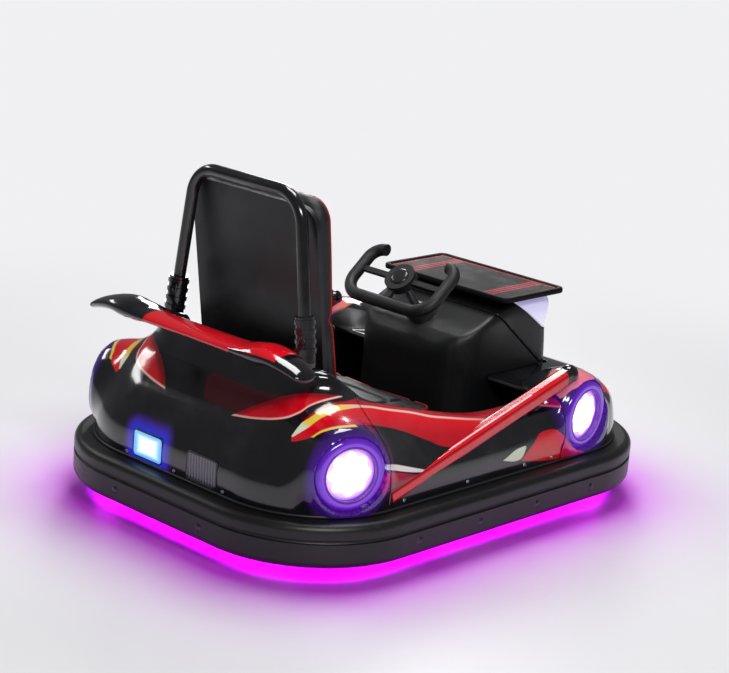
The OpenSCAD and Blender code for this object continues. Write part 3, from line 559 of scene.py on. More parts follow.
def tray_finish():
    """Dash tray: fine-grained black with red lines round its edge and across its top."""
    t = Tree("tray")
    low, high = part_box("dash_tray")
    from_side = high.y - abs(t.y)
    edge = lowest(from_side, lowest(t.x - low.x, high.x - t.x))
    lines = t.span(edge, 0.016, 0.020)
    for place in (0.062, 0.074, 0.086):
        lines = highest(lines, t.span(from_side, place, place + 0.004) * (edge > 0.020))
    satin(t, t.mix(lines, BLACK, srgb(190, 14, 34)), 0.56, 900, 0.0004)
    t.set(specular=0.12)
    return t.material


def lamp_wedge_finish():
    """Diffuser of the front lamp: lavender-white, brightest in the middle of its face, with fine flutes."""
    t = Tree("front_lamp")
    flutes = t.between(sine(t.y * 640.0), 0.90, 1.0)
    colour = t.mix(t.share(t.z, CONSOLE_Z - LAMP_H, CONSOLE_Z), srgb(246, 244, 255), srgb(168, 160, 226))
    t.set(colour=srgb(214, 212, 236), rough=0.16, coat=0.8, glow=t.shaded(colour, flutes), glow_strength=0.62)
    t.bump(flutes, 0.25, 0.0008)
    return t.material


def finish_nodes():
    """A finish for each node. A piece that takes a node's place wears the same finish, or one of its own."""
    assign(shell_finish(), "rear_cowl", "nose_cowl", "side_pod_left", "side_pod_right")
    assign(rubber(Tree("ring_rubber"), srgb(9, 9, 12), 0.36), "bumper_ring")
    assign(painted(Tree("frame_paint"), srgb(30, 30, 34)), "frame_tubes", "sill_box", "drive_head")
    assign(satin(Tree("deck_plate"), srgb(30, 30, 32), 0.55, 300, 0.0012), "deck_plate")
    assign(pod_finish(), "pod_rear_left", "pod_rear_right", "pod_front_left", "pod_front_right")
    assign(lens_finish(), "corner_lenses")
    assign(window_lit(), "rear_window_left")
    assign(window_dark(), "rear_window_right")
    assign(bar_finish(), "side_bar_left", "side_bar_right")
    assign(gloss(Tree("wing_red"), RED), "rear_wing")
    assign(gloss(Tree("wing_black"), BLACK), "wing_tips")
    assign(tray_finish(), "dash_tray")
    assign(satin(Tree("seat_shell"), srgb(22, 22, 25), 0.34, 900), "seat_shell", "seat_cushion", "back_pad")
    assign(gloss(Tree("hoop_black"), BLACK, 0.20), "back_hoop")
    assign(satin(Tree("console_black"), srgb(17, 18, 20), 0.34), "console_cowl", "console_front")
    assign(lamp_wedge_finish(), "front_lamp")
    assign(metal(Tree("bright_steel"), srgb(190, 190, 194), 0.3, (1, 1, 20)), "steering_shaft", "column_bush",
           "drive_hub")
    assign(metal(Tree("zinc"), srgb(176, 178, 186), 0.36), "caster_plates", "caster_fork_left",
           "caster_fork_right", "drive_fork")
    assign(painted(Tree("pedal_steel"), srgb(70, 70, 74)), "pedals", "battery_block")
    assign(satin(Tree("grip_rubber"), srgb(18, 18, 20), 0.46, 700, 0.0008), "steering_yoke")
    assign(rubber(Tree("tyre_rubber"), srgb(24, 24, 25)), "drive_tyre", "caster_wheel_left",
           "caster_wheel_right")
    assign(strip_finish(), "underglow_strip")


# Stage

FLOOR_SIZE = 14


def add_floor():
    """Pale floor with the car's shadow and underglow on it; the underglow's magenta is also painted into the
    floor's colour.
    """
    corners = [(FLOOR_SIZE * x, FLOOR_SIZE * y, 0) for x, y in ((-1, -1), (1, -1), (1, 1), (-1, 1))]
    floor = make("floor", corners, [(0, 1, 2, 3)])
    t = Tree("floor")
    t.bump(t.noise(60, 3), 0.05, 0.002)
    # Painted glow of the diode strips: magenta in the floor's colour, which fades away from the ring's outline
    out_x = highest(abs(t.x) - (HALF_L - RING_R), 0.0)
    out_y = highest(abs(t.y) - (HALF_W - RING_R), 0.0)
    outside = distance(out_x, out_y) - RING_R
    fall = t.math("EXPONENT", highest(outside, 0.0) * -7.0)
    painted_glow = fall * t.between(t.noise(5, 3), 0.75, 1.15) * t.step(outside, 0.60, 0.0)
    pale = t.mix(t.noise(1.3, 3), srgb(232, 232, 235), srgb(238, 238, 240))
    t.set(colour=t.mix(painted_glow, pale, srgb(226, 70, 250)), rough=0.42)
    # Away from the car the floor passes into the backdrop's colour
    seen = t.step(distance(t.x, t.y), 1.0, 2.6) * t.add("ShaderNodeLightPath", out="Is Camera Ray")
    backdrop = t.add("ShaderNodeEmission", {0: BACKDROP, 1: 1.0})
    mixed = t.add("ShaderNodeMixShader", {0: seen, 1: Value(t, t.shader.outputs[0]), 2: backdrop})
    t.put(mixed, t.nodes["Material Output"].inputs[0])
    floor.data.materials.append(t.material)
    floor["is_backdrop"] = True


# Soft boxes. Columns: name, place, width, height, power
SOFT_BOXES = [("key", (-2.2, -3.4, 3.2), 1.8, 0.9, 95), ("side", (2.8, 2.6, 2.4), 1.2, 1.8, 60),
              ("back", (-1.0, 3.8, 2.8), 2.0, 0.4, 24), ("top", (0.4, 0.2, 3.6), 1.6, 1.6, 80)]


def add_stage():
    """The floor, soft boxes, and a world that is white for the camera alone."""
    add_floor()
    for name, place, width, height, power in SOFT_BOXES:
        data = bpy.data.lights.new(name, "AREA")
        data.shape = "RECTANGLE"
        data.size, data.size_y = width, height
        data.energy = power
        lamp = new_object(name, data)
        lamp.location = place
        lamp.rotation_euler = (Vector((0, 0, 0.3)) - Vector(place)).to_track_quat("-Z", "Y").to_euler()
    world = bpy.data.worlds.new("world")
    bpy.context.scene.world = world
    world.use_nodes = True
    nodes, links = world.node_tree.nodes, world.node_tree.links
    sky = nodes["Background"]
    sky.inputs[0].default_value = (*srgb(225, 226, 230), 1)
    sky.inputs[1].default_value = 0.18
    white = nodes.new("ShaderNodeBackground")
    white.inputs[0].default_value = (*BACKDROP, 1)
    choice = nodes.new("ShaderNodeMixShader")
    links.new(nodes.new("ShaderNodeLightPath").outputs["Is Camera Ray"], choice.inputs[0])
    links.new(sky.outputs[0], choice.inputs[1])
    links.new(white.outputs[0], choice.inputs[2])
    links.new(choice.outputs[0], nodes["World Output"].inputs[0])
    bpy.context.scene.view_settings.view_transform = "Standard"


# Shapes: each is a function that is negative inside and gives about the distance to the surface

def soft_max(a, b, k):
    h = np.clip(0.5 - 0.5 * (b - a) / k, 0, 1)
    return b * (1 - h) + a * h + k * h * (1 - h)


def soft_min(a, b, k):
    return -soft_max(-a, -b, k)


def smooth_step(x, low, high):
    t = np.clip((x - low) / (high - low), 0, 1)
    return t * t * (3 - 2 * t)


def through(rows):
    """Finely spaced points of a smooth curve through a table's rows."""
    rows = np.array(rows, float)
    before, after = 2 * rows[0] - rows[1], 2 * rows[-1] - rows[-2]
    rows = np.vstack([before, rows, after])
    t = np.linspace(0, 1, 9)[:-1, None]
    parts = []
    for a, b, c, d in zip(rows, rows[1:], rows[2:], rows[3:]):
        parts.append(0.5 * (2 * b + (c - a) * t + (2 * a - 5 * b + 4 * c - d) * t ** 2
                            + (3 * b - a - 3 * c + d) * t ** 3))
    return np.vstack(parts + [rows[-2:-1]])


def gradient(f, points, h=0.0004):
    steps = np.eye(3) * h
    return np.stack([(f(points + s) - f(points - s)) / (2 * h) for s in steps], 1)


def surface(name, f, low, high, cell, rounds=6):
    """Mesh of the shape's surface in a box: a vertex in each cell that it crosses, drawn onto the surface."""
    low = np.array(low, float)
    count = np.ceil((np.array(high) - low) / cell).astype(int) + 1
    axes = [low[i] + cell * np.arange(count[i]) for i in range(3)]
    value = np.empty(count)
    for i, x in enumerate(axes[0]):
        y, z = np.meshgrid(axes[1], axes[2], indexing="ij")
        value[i] = f(np.stack([np.full(y.size, x), y.ravel(), z.ravel()], 1)).reshape(y.shape)
    inside = value < 0
    cells = [n - 1 for n in count]
    total = np.zeros((*cells, 3))
    hits = np.zeros(cells)
    corner = lambda a, d: a[d[0]:cells[0] + d[0], d[1]:cells[1] + d[1], d[2]:cells[2] + d[2]]
    for axis in range(3):
        for u in (0, 1):
            for v in (0, 1):
                a = np.insert([u, v], axis, 0)
                b = np.insert([u, v], axis, 1)
                va, vb = corner(value, a), corner(value, b)
                cross = (va < 0) != (vb < 0)
                t = np.where(cross, va / np.where(cross, va - vb, 1), 0)
                spot = np.stack([np.full(t.shape, float(q)) for q in a], -1)
                spot[..., axis] = t
                total += spot * cross[..., None]
                hits += cross
    used = hits > 0
    number = np.full(cells, -1)
    number[used] = np.arange(used.sum())
    base = np.stack(np.nonzero(used), 1)
    points = low + cell * (base + total[used] / hits[used][:, None])
    quads = []
    for axis in range(3):
        one, two = [k for k in range(3) if k != axis]
        reach = [slice(1, cells[k]) for k in range(3)]
        reach[axis] = slice(0, cells[axis])
        ahead = list(reach)
        ahead[axis] = slice(1, cells[axis] + 1)
        a, b = inside[tuple(reach)], inside[tuple(ahead)]
        at = np.stack(np.nonzero(a != b), 1)
        out = a[tuple(at.T)]
        ring = []
        for on_one, on_two in ((0, 0), (1, 0), (1, 1), (0, 1)):
            spot = at.copy()
            spot[:, one] += on_one
            spot[:, two] += on_two
            ring.append(number[tuple(spot.T)])
        quad = np.stack(ring, 1)
        turn = out if axis != 1 else ~out
        quads.append(np.where(turn[:, None], quad, quad[:, ::-1]))
    for _ in range(rounds):
        slope = gradient(f, points)
        size = np.maximum((slope ** 2).sum(1), 0.05)
        move = -(f(points) / size)[:, None] * slope
        points += move * np.minimum(1, cell / np.maximum(np.linalg.norm(move, axis=1), 1e-9))[:, None]
    return make(name, points.tolist(), np.vstack(quads).tolist())


def cut(piece, *cutters):
    """Takes the cutters out of the piece and drops them."""
    for cutter in cutters:
        change = piece.modifiers.new("cut", "BOOLEAN")
        change.operation = "DIFFERENCE"
        change.solver = "EXACT"
        change.object = cutter
    apply_changes(piece)
    for cutter in cutters:
        bpy.data.objects.remove(cutter)


def apply_changes(piece):
    view = bpy.context.evaluated_depsgraph_get()
    mesh = bpy.data.meshes.new_from_object(piece.evaluated_get(view))
    piece.modifiers.clear()
    piece.data = mesh


# Meshes in code

def make(name, points, faces):
    mesh = bpy.data.meshes.new(name)
    mesh.from_pydata([tuple(p) for p in points], [], faces)
    mesh.polygons.foreach_set("use_smooth", [True] * len(mesh.polygons))
    return new_object(name, mesh)


def edit(piece, *changes):
    """Runs changes on a piece in Blender's mesh editor."""
    bm = bmesh.new()
    bm.from_mesh(piece.data)
    for change in changes:
        change(bm)
    bm.to_mesh(piece.data)
    return piece


def weld(bm):
    bmesh.ops.remove_doubles(bm, verts=bm.verts, dist=1e-6)


def close_ends(bm):
    bmesh.ops.holes_fill(bm, edges=[e for e in bm.edges if e.is_boundary], sides=0)


def turn_out(bm):
    bmesh.ops.recalc_face_normals(bm, faces=bm.faces)


def ring_faces(rings, sides, first=0, closed=False):
    """Faces between rings of points that follow one another, or also between the last and the first."""
    faces = []
    for j in range(rings if closed else rings - 1):
        here, there = first + j * sides, first + (j + 1) % rings * sides
        faces += [(here + k, here + (k + 1) % sides, there + (k + 1) % sides, there + k) for k in range(sides)]
    return faces


def tube(name, path, radius, sides=8):
    """Round cord through the points of a closed path."""
    path = np.array(path, float)
    ahead = np.roll(path, -1, 0) - np.roll(path, 1, 0)
    ahead /= np.linalg.norm(ahead, axis=1)[:, None]
    across = np.cross(ahead, (0.31, 0.17, 0.93))
    across /= np.linalg.norm(across, axis=1)[:, None]
    up = np.cross(ahead, across)
    turn = np.linspace(0, 2 * np.pi, sides, endpoint=False)[None, :, None]
    rings = path[:, None] + radius * (np.cos(turn) * across[:, None] + np.sin(turn) * up[:, None])
    return make(name, rings.reshape(-1, 3), ring_faces(len(path), sides, closed=True))


def turned(name, profile, spots, sides=24):
    """Copies of a turned part. A spot is a place and the way its axis looks. Rows: radius, height, with the
    solid on the left of the profile as it is followed up the axis."""
    points, faces = [], []
    for place, axis in spots:
        frame_of = Vector(axis).to_track_quat("Z", "Y").to_matrix()
        faces += ring_faces(len(profile), sides, len(points))
        for radius, height in profile:
            for k in range(sides):
                a = 2 * math.pi * k / sides
                spot = Vector((radius * math.cos(a), radius * math.sin(a), height))
                points.append(Vector(place) + frame_of @ spot)
    return edit(make(name, points, faces), weld)


def dress(piece, material, *nodes):
    """Gives a fixed piece its finish, hangs it on the chassis, and hides the nodes that it stands for."""
    piece.data.materials.clear()
    piece.data.materials.append(material)
    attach(piece, "chassis")
    if nodes:
        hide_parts(*nodes)


# Body shell, from the same sizes as the source's

COWL_LOW, COWL_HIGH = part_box("rear_cowl")
BASE_Z = COWL_LOW.z
INSET = 0.048
COWL_X = COWL_HIGH.x
COWL_TOP = COWL_HIGH.z
NOSE_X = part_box("nose_cowl")[0].x
NOSE_TOP = BASE_Z + 0.142
SEAM = 0.0012
COWL_IN = 0.148
NOSE_IN = 0.150
# Columns: share of the height, share of the inset
COWL_ROWS = through([[0, 0], [0.21, 0], [0.37, 0.12], [0.53, 0.34], [0.66, 0.60], [0.76, 0.78], [0.87, 0.88],
                     [0.96, 0.93], [1, 1]])
NOSE_ROWS = through([[0, 0], [0.32, 0.01], [0.65, 0.08], [0.83, 0.24], [0.93, 0.48], [0.98, 0.75], [1, 1]])
# Columns: share of the way from cowl to nose, height of the rim over the base
RIM_ROWS = through([[0, 0.222], [0.10, 0.203], [0.27, 0.177], [0.58, 0.141], [0.82, 0.137], [1, 0.141]])
# Columns: distance behind the lens's face, radius of the fender over the pod's
REAR_FENDER = through([[-0.01, 0.005], [0.004, 0.005], [0.014, 0.013], [0.040, 0.020], [0.080, 0.028],
                       [0.130, 0.044]])
FRONT_FENDER = through([[-0.01, 0.005], [0.004, 0.005], [0.016, 0.013], [0.050, 0.017], [0.090, 0.012],
                        [0.130, -0.006], [0.158, -0.046], [0.168, -0.084]])
POD_DEPTH = 0.056
LAMPS = [(*REAR_LAMP, REAR_FENDER), (*FRONT_LAMP, FRONT_FENDER)]
# Where the side pods end towards the cockpit, and where the body is halfway from cowl to nose
POD_INNER = 0.2
WAIST_X = -0.05
# Cockpit: half width at the floor, at the rim behind and how much wider in front, height of its leaning walls
FLOOR_HALF = HALF_W - 0.140
RIM_HALF, RIM_WIDER = 0.285, 0.060
WALL_H = 0.2
# Footwells under the nose: reach ahead, overlap with the cockpit, and the nose's thickness over them
FOOTWELL_L, FOOTWELL_BACK, NOSE_T = 0.19, 0.05, 0.012
# Radii of the blends: rim and edges, lens seats, fenders, cockpit's ends
EDGE_R, SEAT_R, FENDER_R, REAR_END_R, FRONT_END_R = 0.012, 0.006, 0.030, 0.03, 0.02


def ring_depth(x, y):
    """How far inside the bumper ring's outline a place lies."""
    qx = np.abs(x) - (HALF_L - RING_R)
    qy = np.abs(y) - (HALF_W - RING_R)
    out = np.hypot(np.maximum(qx, 0), np.maximum(qy, 0)) + np.minimum(np.maximum(qx, qy), 0)
    return RING_R - out


def read_off(rows, value, column=1):
    """A table's column, read off where its first column has the value."""
    return np.interp(value, rows[:, 0], rows[:, column])


def lamp_place(p, lamp):
    """Depth behind a lens's face on either side, and the distances along and up from its middle."""
    x, y, z = p.T
    lamp_x, lamp_y, lamp_z, yaw, _ = lamp
    turn = math.radians(yaw)
    dx, dy = x - lamp_x, np.abs(y) - lamp_y
    depth = -(dx * math.sin(turn) + dy * math.cos(turn))
    return depth, dx * math.cos(turn) - dy * math.sin(turn), z - lamp_z


def body_shape(p):
    x, y, z = p.T
    h = z - BASE_Z
    to_nose = smooth_step(x, WAIST_X, NOSE_X + 0.02)
    rear_in = INSET + COWL_IN * read_off(COWL_ROWS, np.clip(h / (COWL_TOP - BASE_Z), 0, 1))
    front_in = INSET + NOSE_IN * read_off(NOSE_ROWS, np.clip(h / (NOSE_TOP - BASE_Z), 0, 1))
    inset = rear_in * (1 - to_nose) + front_in * to_nose
    outer = (inset - ring_depth(x, y)) * 0.75
    rim = BASE_Z + read_off(RIM_ROWS, np.clip((x - COWL_X) / (NOSE_X - COWL_X), 0, 1))
    top = COWL_TOP + (rim - COWL_TOP) * smooth_step(x, COWL_X - 0.065, COWL_X + 0.035)
    body = soft_max(outer, (z - top) * 0.8, EDGE_R)
    for lamp in LAMPS:
        depth, along_face, up = lamp_place(p, lamp)
        flare = (np.hypot(along_face, up) - POD_R - read_off(lamp[4], depth)) * 0.85
        body = soft_min(body, soft_max(flare, -depth - 0.001, SEAT_R), FENDER_R)
    # Cockpit between the pods, and the footwells under the nose
    rim_in = RIM_HALF + RIM_WIDER * smooth_step(x, COWL_X, WAIST_X)
    lean = FLOOR_HALF + (rim_in - FLOOR_HALF) * np.clip(h / WALL_H, 0, 1)
    cockpit = soft_max(np.abs(y) - lean, COWL_X - x, REAR_END_R)
    cockpit = soft_max(cockpit, x - NOSE_X, FRONT_END_R)
    footwell = soft_max(np.abs(y) - FLOOR_HALF, x - NOSE_X - FOOTWELL_L, 0.04)
    footwell = soft_max(footwell, np.maximum(z - NOSE_TOP + NOSE_T, NOSE_X - FOOTWELL_BACK - x), FRONT_END_R)
    body = soft_max(body, -np.minimum(cockpit, footwell), EDGE_R)
    return np.maximum(body, BASE_Z - z)


def lamp_axis(lamp, side):
    """Middle of a lens's face on one side of the car, and the way that it looks."""
    x, y, z, yaw = lamp[:4]
    turn = math.radians(yaw)
    return Vector((x, side * y, z)), Vector((math.sin(turn), side * math.cos(turn), 0))


def from_bmesh(name, bm):
    mesh = bpy.data.meshes.new(name)
    bm.to_mesh(mesh)
    return new_object(name, mesh)


def round_cutter(lamp, side, radius, depth):
    """Cylinder on a lamp's axis, from its face inwards and well out of it."""
    face, out = lamp_axis(lamp, side)
    bm = bmesh.new()
    bmesh.ops.create_cone(bm, cap_ends=True, segments=96, radius1=radius, radius2=radius, depth=depth + 0.1)
    cutter = from_bmesh("cutter", bm)
    middle = face + out * (0.05 - depth / 2)
    cutter.matrix_world = Matrix.Translation(middle) @ out.to_track_quat("Z", "Y").to_matrix().to_4x4()
    return cutter


def box_cutter(low, high, radius=0.0):
    bm = bmesh.new()
    bmesh.ops.create_cube(bm, size=1)
    bmesh.ops.scale(bm, vec=Vector(high) - Vector(low), verts=bm.verts)
    bmesh.ops.translate(bm, vec=(Vector(high) + Vector(low)) / 2, verts=bm.verts)
    if radius:
        along_x = [e for e in bm.edges if abs((e.verts[0].co - e.verts[1].co).x) > 1e-6]
        bmesh.ops.bevel(bm, geom=along_x, offset=radius, segments=6, affect="EDGES", profile=0.5)
    return from_bmesh("cutter", bm)


def slice_of(source, name, low_x, high_x, side):
    """The part of a piece between two planes across the car, or also on one side of it, with closed ends."""
    bm = bmesh.new()
    bm.from_mesh(source.data)
    planes = [((low_x, 0, 0), (-1, 0, 0)), ((high_x, 0, 0), (1, 0, 0))]
    if side:
        planes.append(((0, side * POD_INNER, 0), (0, -side, 0)))
    for place, normal in planes:
        made = bmesh.ops.bisect_plane(bm, geom=bm.verts[:] + bm.edges[:] + bm.faces[:], plane_co=place,
                                      plane_no=normal, clear_outer=True)
        rim = [e for e in made["geom_cut"] if isinstance(e, bmesh.types.BMEdge)]
        if rim:
            bmesh.ops.holes_fill(bm, edges=rim, sides=0)
    piece = from_bmesh(name, bm)
    for polygon in piece.data.polygons:
        polygon.use_smooth = polygon.loop_total < 6
    return piece


# The body's mouldings. Columns: piece, node, ends along the car, side
SHELLS = [("shell_rear", "rear_cowl", -HALF_L, COWL_X - SEAM, 0),
          ("shell_side_left", "side_pod_left", COWL_X + SEAM, NOSE_X - SEAM, 1),
          ("shell_side_right", "side_pod_right", COWL_X + SEAM, NOSE_X - SEAM, -1),
          ("shell_nose", "nose_cowl", NOSE_X + SEAM, HALF_L, 0)]


def add_shells():
    """The body's four mouldings: one flowing surface, parted at the source's seams."""
    whole = surface("body", body_shape, (-HALF_L, -HALF_W, BASE_Z - 0.01),
                    (HALF_L, HALF_W, COWL_TOP + 0.01), cell=0.006)
    cutters = [round_cutter(lamp, side, POD_R + 0.0015, POD_DEPTH + 0.002)
               for lamp in LAMPS for side in (-1, 1)]
    gap = Vector((0, 0.001, 0.001))
    for node in ("rear_window_left", "rear_window_right"):
        low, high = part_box(node)
        cutters.append(box_cutter(low - gap - Vector((0.05, 0, 0)), high + gap, 0.009))
    low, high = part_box("console_cowl")
    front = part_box("console_front")[1].x
    cutters.append(box_cutter((low.x - 0.001, low.y - 0.001, 0.05), (front + 0.001, high.y + 0.001, 0.6)))
    cut(whole, *cutters)
    for name, node, low_x, high_x, side in SHELLS:
        dress(slice_of(whole, name, low_x, high_x, side), bpy.data.materials["shell_paint"], node)
    bpy.data.objects.remove(whole)


def rod_distance(p, a, b, radius_a, radius_b):
    """Round bar between two points, with a radius at each."""
    a, b = np.array(a), np.array(b)
    share = np.clip(((p - a) @ (b - a)) / ((b - a) @ (b - a)), 0, 1)
    return np.linalg.norm(p - a - share[:, None] * (b - a), axis=1) - radius_a - (radius_b - radius_a) * share


def outline_distance(u, v, points):
    """Signed distance from a closed outline in a plane, negative inside."""
    best = np.full(u.shape, 1e9)
    inside = np.zeros(u.shape, bool)
    for (u0, v0), (u1, v1) in zip(points, points[1:] + points[:1]):
        du, dv = u1 - u0, v1 - v0
        share = np.clip(((u - u0) * du + (v - v0) * dv) / (du * du + dv * dv), 0, 1)
        best = np.minimum(best, np.hypot(u - u0 - share * du, v - v0 - share * dv))
        if dv:
            inside ^= ((v0 <= v) != (v1 <= v)) & (u < u0 + (v - v0) * du / dv)
    return np.where(inside, -best, best)


def arc(cu, cv, radius, start, end, steps=8):
    """Points of an arc round (cu, cv), between two angles in degrees."""
    angles = [math.radians(start + (end - start) * k / steps) for k in range(steps + 1)]
    return [(cu + radius * math.cos(a), cv + radius * math.sin(a)) for a in angles]


def prism(points, reach=0.5):
    """Cutter: an outline in the plane of X and Z, pulled across the car. Points run anticlockwise."""
    n = len(points)
    corners = [(x, y, z) for y in (-reach, reach) for x, z in points]
    faces = [tuple(range(n)), tuple(range(2 * n - 1, n - 1, -1))]
    faces += [((k + 1) % n, k, n + k, n + (k + 1) % n) for k in range(n)]
    return edit(make("cutter", corners, faces), turn_out)


# Grab wing

WING_LOW, WING_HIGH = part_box("wing_tips")
WING_SPAN = WING_HIGH.y
WING_X = (WING_LOW.x + WING_HIGH.x) / 2
WING_Z = COWL_TOP + 0.044
WING_CHORD, WING_T = 0.092, 0.032
# Columns: share of the half span, thickness, depth, rise of its middle
WING_ROWS = through([[0, 0.80, 0.80, -0.004], [0.35, 0.86, 0.84, -0.004], [0.50, 1.10, 0.94, -0.002],
                     [0.62, 1.50, 1, 0.001], [0.74, 1.20, 0.97, 0.002], [0.88, 0.90, 0.82, -0.008],
                     [1, 0.55, 0.60, -0.024]])
# Arms of the wing: where they leave it, their feet's place behind its middle and along it, radii at both ends
ARM_Y, ARM_FOOT = 0.190, (0.104, 0.172)
ARM_R, FOOT_R = 0.017, 0.021


def wing_shape(p):
    x, y, z = p.T
    y = np.abs(y)
    share = y / WING_SPAN
    thick = WING_T / 2 * read_off(WING_ROWS, share, 1)
    depth = WING_CHORD / 2 * read_off(WING_ROWS, share, 2)
    rise = z - WING_Z - read_off(WING_ROWS, share, 3)
    reach = np.hypot((x - WING_X) / depth, rise / thick)
    blade = (reach - 1) * thick * 0.9
    blade = soft_max(blade, (y - WING_SPAN) * 0.9, 0.016)
    folded = np.stack([x, y, z], 1)
    foot = (WING_X + ARM_FOOT[0], ARM_FOOT[1], COWL_TOP + 0.006)
    arm = rod_distance(folded, (WING_X, ARM_Y, WING_Z - 0.004), foot, ARM_R, FOOT_R)
    return np.maximum(soft_min(blade, arm, 0.018), COWL_TOP + 0.0005 - z)


def wing_finish():
    """Red wing with a black rear face and tips, and black all along its left end, which is painted shade."""
    t = Tree("wing_paint")
    side = abs(t.y)
    middle = t.curve(side, [(row[0] * WING_SPAN, row[3] + WING_Z) for row in WING_ROWS[::4]])
    under = t.step(middle - t.z, -0.0075, -0.0055) * t.step(side, 0.138, 0.142) * (t.x < WING_X + 0.012)
    # Black tips, and painted shade in black all along the left end
    ends = highest(t.step(side, 0.279, 0.281), t.step(t.y, 0.138, 0.142))
    return gloss(t, t.mix(highest(under, ends), RED, BLACK), 0.12)


def add_wing():
    wing = surface("wing", wing_shape, (WING_X - 0.06, -WING_SPAN - 0.004, COWL_TOP - 0.004),
                   (WING_X + 0.14, WING_SPAN + 0.004, WING_Z + 0.032), cell=0.0042)
    dress(wing, wing_finish(), "rear_wing", "wing_tips")


# Soft goods

SETTLE_FRAMES = 20


def points_of(mesh):
    values = np.empty(len(mesh.vertices) * 3)
    mesh.vertices.foreach_get("co", values)
    return values.reshape(-1, 3)


def normals_of(mesh):
    values = np.empty(len(mesh.vertices) * 3)
    mesh.vertex_normals.foreach_get("vector", values)
    return values.reshape(-1, 3)


def place_points(piece, points):
    piece.data.vertices.foreach_set("co", np.asarray(points, float).ravel())
    piece.data.update()


def puff(piece, cap, hold):
    """Swells a closed pad by cloth pressure, by cap at its crown; hold keeps it on what it rests on."""
    start = points_of(piece.data)
    end = start + normals_of(piece.data) * cap
    cloth = piece.modifiers.new("cloth", "CLOTH")
    cloth.settings.quality = 5
    cloth.settings.mass = 0.12
    cloth.settings.tension_stiffness = cloth.settings.compression_stiffness = 40
    cloth.settings.shear_stiffness = 5
    cloth.settings.bending_stiffness = 0.5
    cloth.settings.use_pressure = True
    cloth.settings.uniform_pressure_force = 0.6
    cloth.settings.effector_weights.gravity = 0
    cloth.collision_settings.use_collision = False
    cloth.point_cache.frame_start, cloth.point_cache.frame_end = 1, SETTLE_FRAMES
    for frame_number in range(1, SETTLE_FRAMES + 1):
        bpy.context.scene.frame_set(frame_number)
    end = points_of(piece.evaluated_get(bpy.context.evaluated_depsgraph_get()).data)
    piece.modifiers.clear()
    bpy.context.scene.frame_set(1)
    move = end - start
    place_points(piece, hold(start + move * cap / np.linalg.norm(move, axis=1).max(), start))
    divide = piece.modifiers.new("divide", "SUBSURF")
    divide.levels = divide.render_levels = 1
    apply_changes(piece)
    piece.data.polygons.foreach_set("use_smooth", [True] * len(piece.data.polygons))


def sew(piece, depth, width, *lines):
    """Pulls the surface in along sewn lines; each gives every point's distance from it."""
    points = points_of(piece.data)
    pull = np.max([depth * np.exp(-(line(points) / width) ** 2) for line in lines], axis=0)
    place_points(piece, points - normals_of(piece.data) * pull[:, None])


def onto(piece, spots, way, lift):
    """Drops points onto a piece along a direction, to lie lift over it."""
    found = []
    for spot in spots:
        hit, place, normal, _ = piece.ray_cast(Vector(spot), Vector(way))
        if hit:
            found.append(place + normal * lift)
    return found


def stitches(name, runs, length=0.0042, radius=0.00055):
    """Short threads along runs of points that lie on a cushion."""
    points, faces = [], []
    for run in runs:
        for a, b in zip(run[::2], run[1::2]):
            way = (b - a).normalized()
            side = way.cross(Vector((0.2, 0.3, 0.93))).normalized()
            up = way.cross(side)
            faces += ring_faces(4, 5, len(points))
            for share, size in ((0, 0.3), (0.25, 1), (0.75, 1), (1, 0.3)):
                for k in range(5):
                    turn = 2 * math.pi * k / 5
                    points.append(a + way * length * share
                                  + (side * math.cos(turn) + up * math.sin(turn)) * radius * size)
    return make(name, points, faces)


PAD_LEAN = math.radians(9)
PAD_FOOT = Vector((COWL_X + 0.050, 0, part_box("seat_cushion")[0].z - 0.0003))
PAD_T, PAD_W, PAD_H, PAD_UP = 0.062, 0.392, 0.580, 0.012
BOLSTER = 0.116


def on_pad(p):
    """Local places in front of the seat's back panel: X out of it, Z up along it."""
    p = np.asarray(p, float)
    x = PAD_FOOT.x + p[..., 0] * math.cos(PAD_LEAN) - p[..., 2] * math.sin(PAD_LEAN)
    z = PAD_FOOT.z + p[..., 0] * math.sin(PAD_LEAN) + p[..., 2] * math.cos(PAD_LEAN)
    return np.stack([x, p[..., 1], z], -1)


def stadium(p, low, high, radius, edge):
    """Slab with a round-cornered outline across Y and Z and soft edges; X is its thickness."""
    q = np.abs(p[:, 1:] - (low[1:] + high[1:]) / 2) - (high[1:] - low[1:]) / 2 + radius
    plan = np.linalg.norm(np.maximum(q, 0), axis=1) + np.minimum(q.max(1), 0) - radius
    return soft_max(plan, np.abs(p[:, 0] - (low[0] + high[0]) / 2) - (high[0] - low[0]) / 2, edge)


# How much cloth pressure swells a cushion, its start form's room at the sides, and the piping's inset
SWELL, EASE, PIPING_IN = 0.013, 0.004, 0.012
CHANNEL_DEEP, CHANNEL_W = 0.0065, 0.0055
PIPING_R = 0.0034
# Stitches: distance beside the bolster's channel, spacing of their ends, lift over the vinyl
STITCH_OFF, STITCH_STEP, STITCH_LIFT = 0.007, 0.0036, 0.0002
# Height over a cushion from which points are dropped onto it
DROP = 0.3


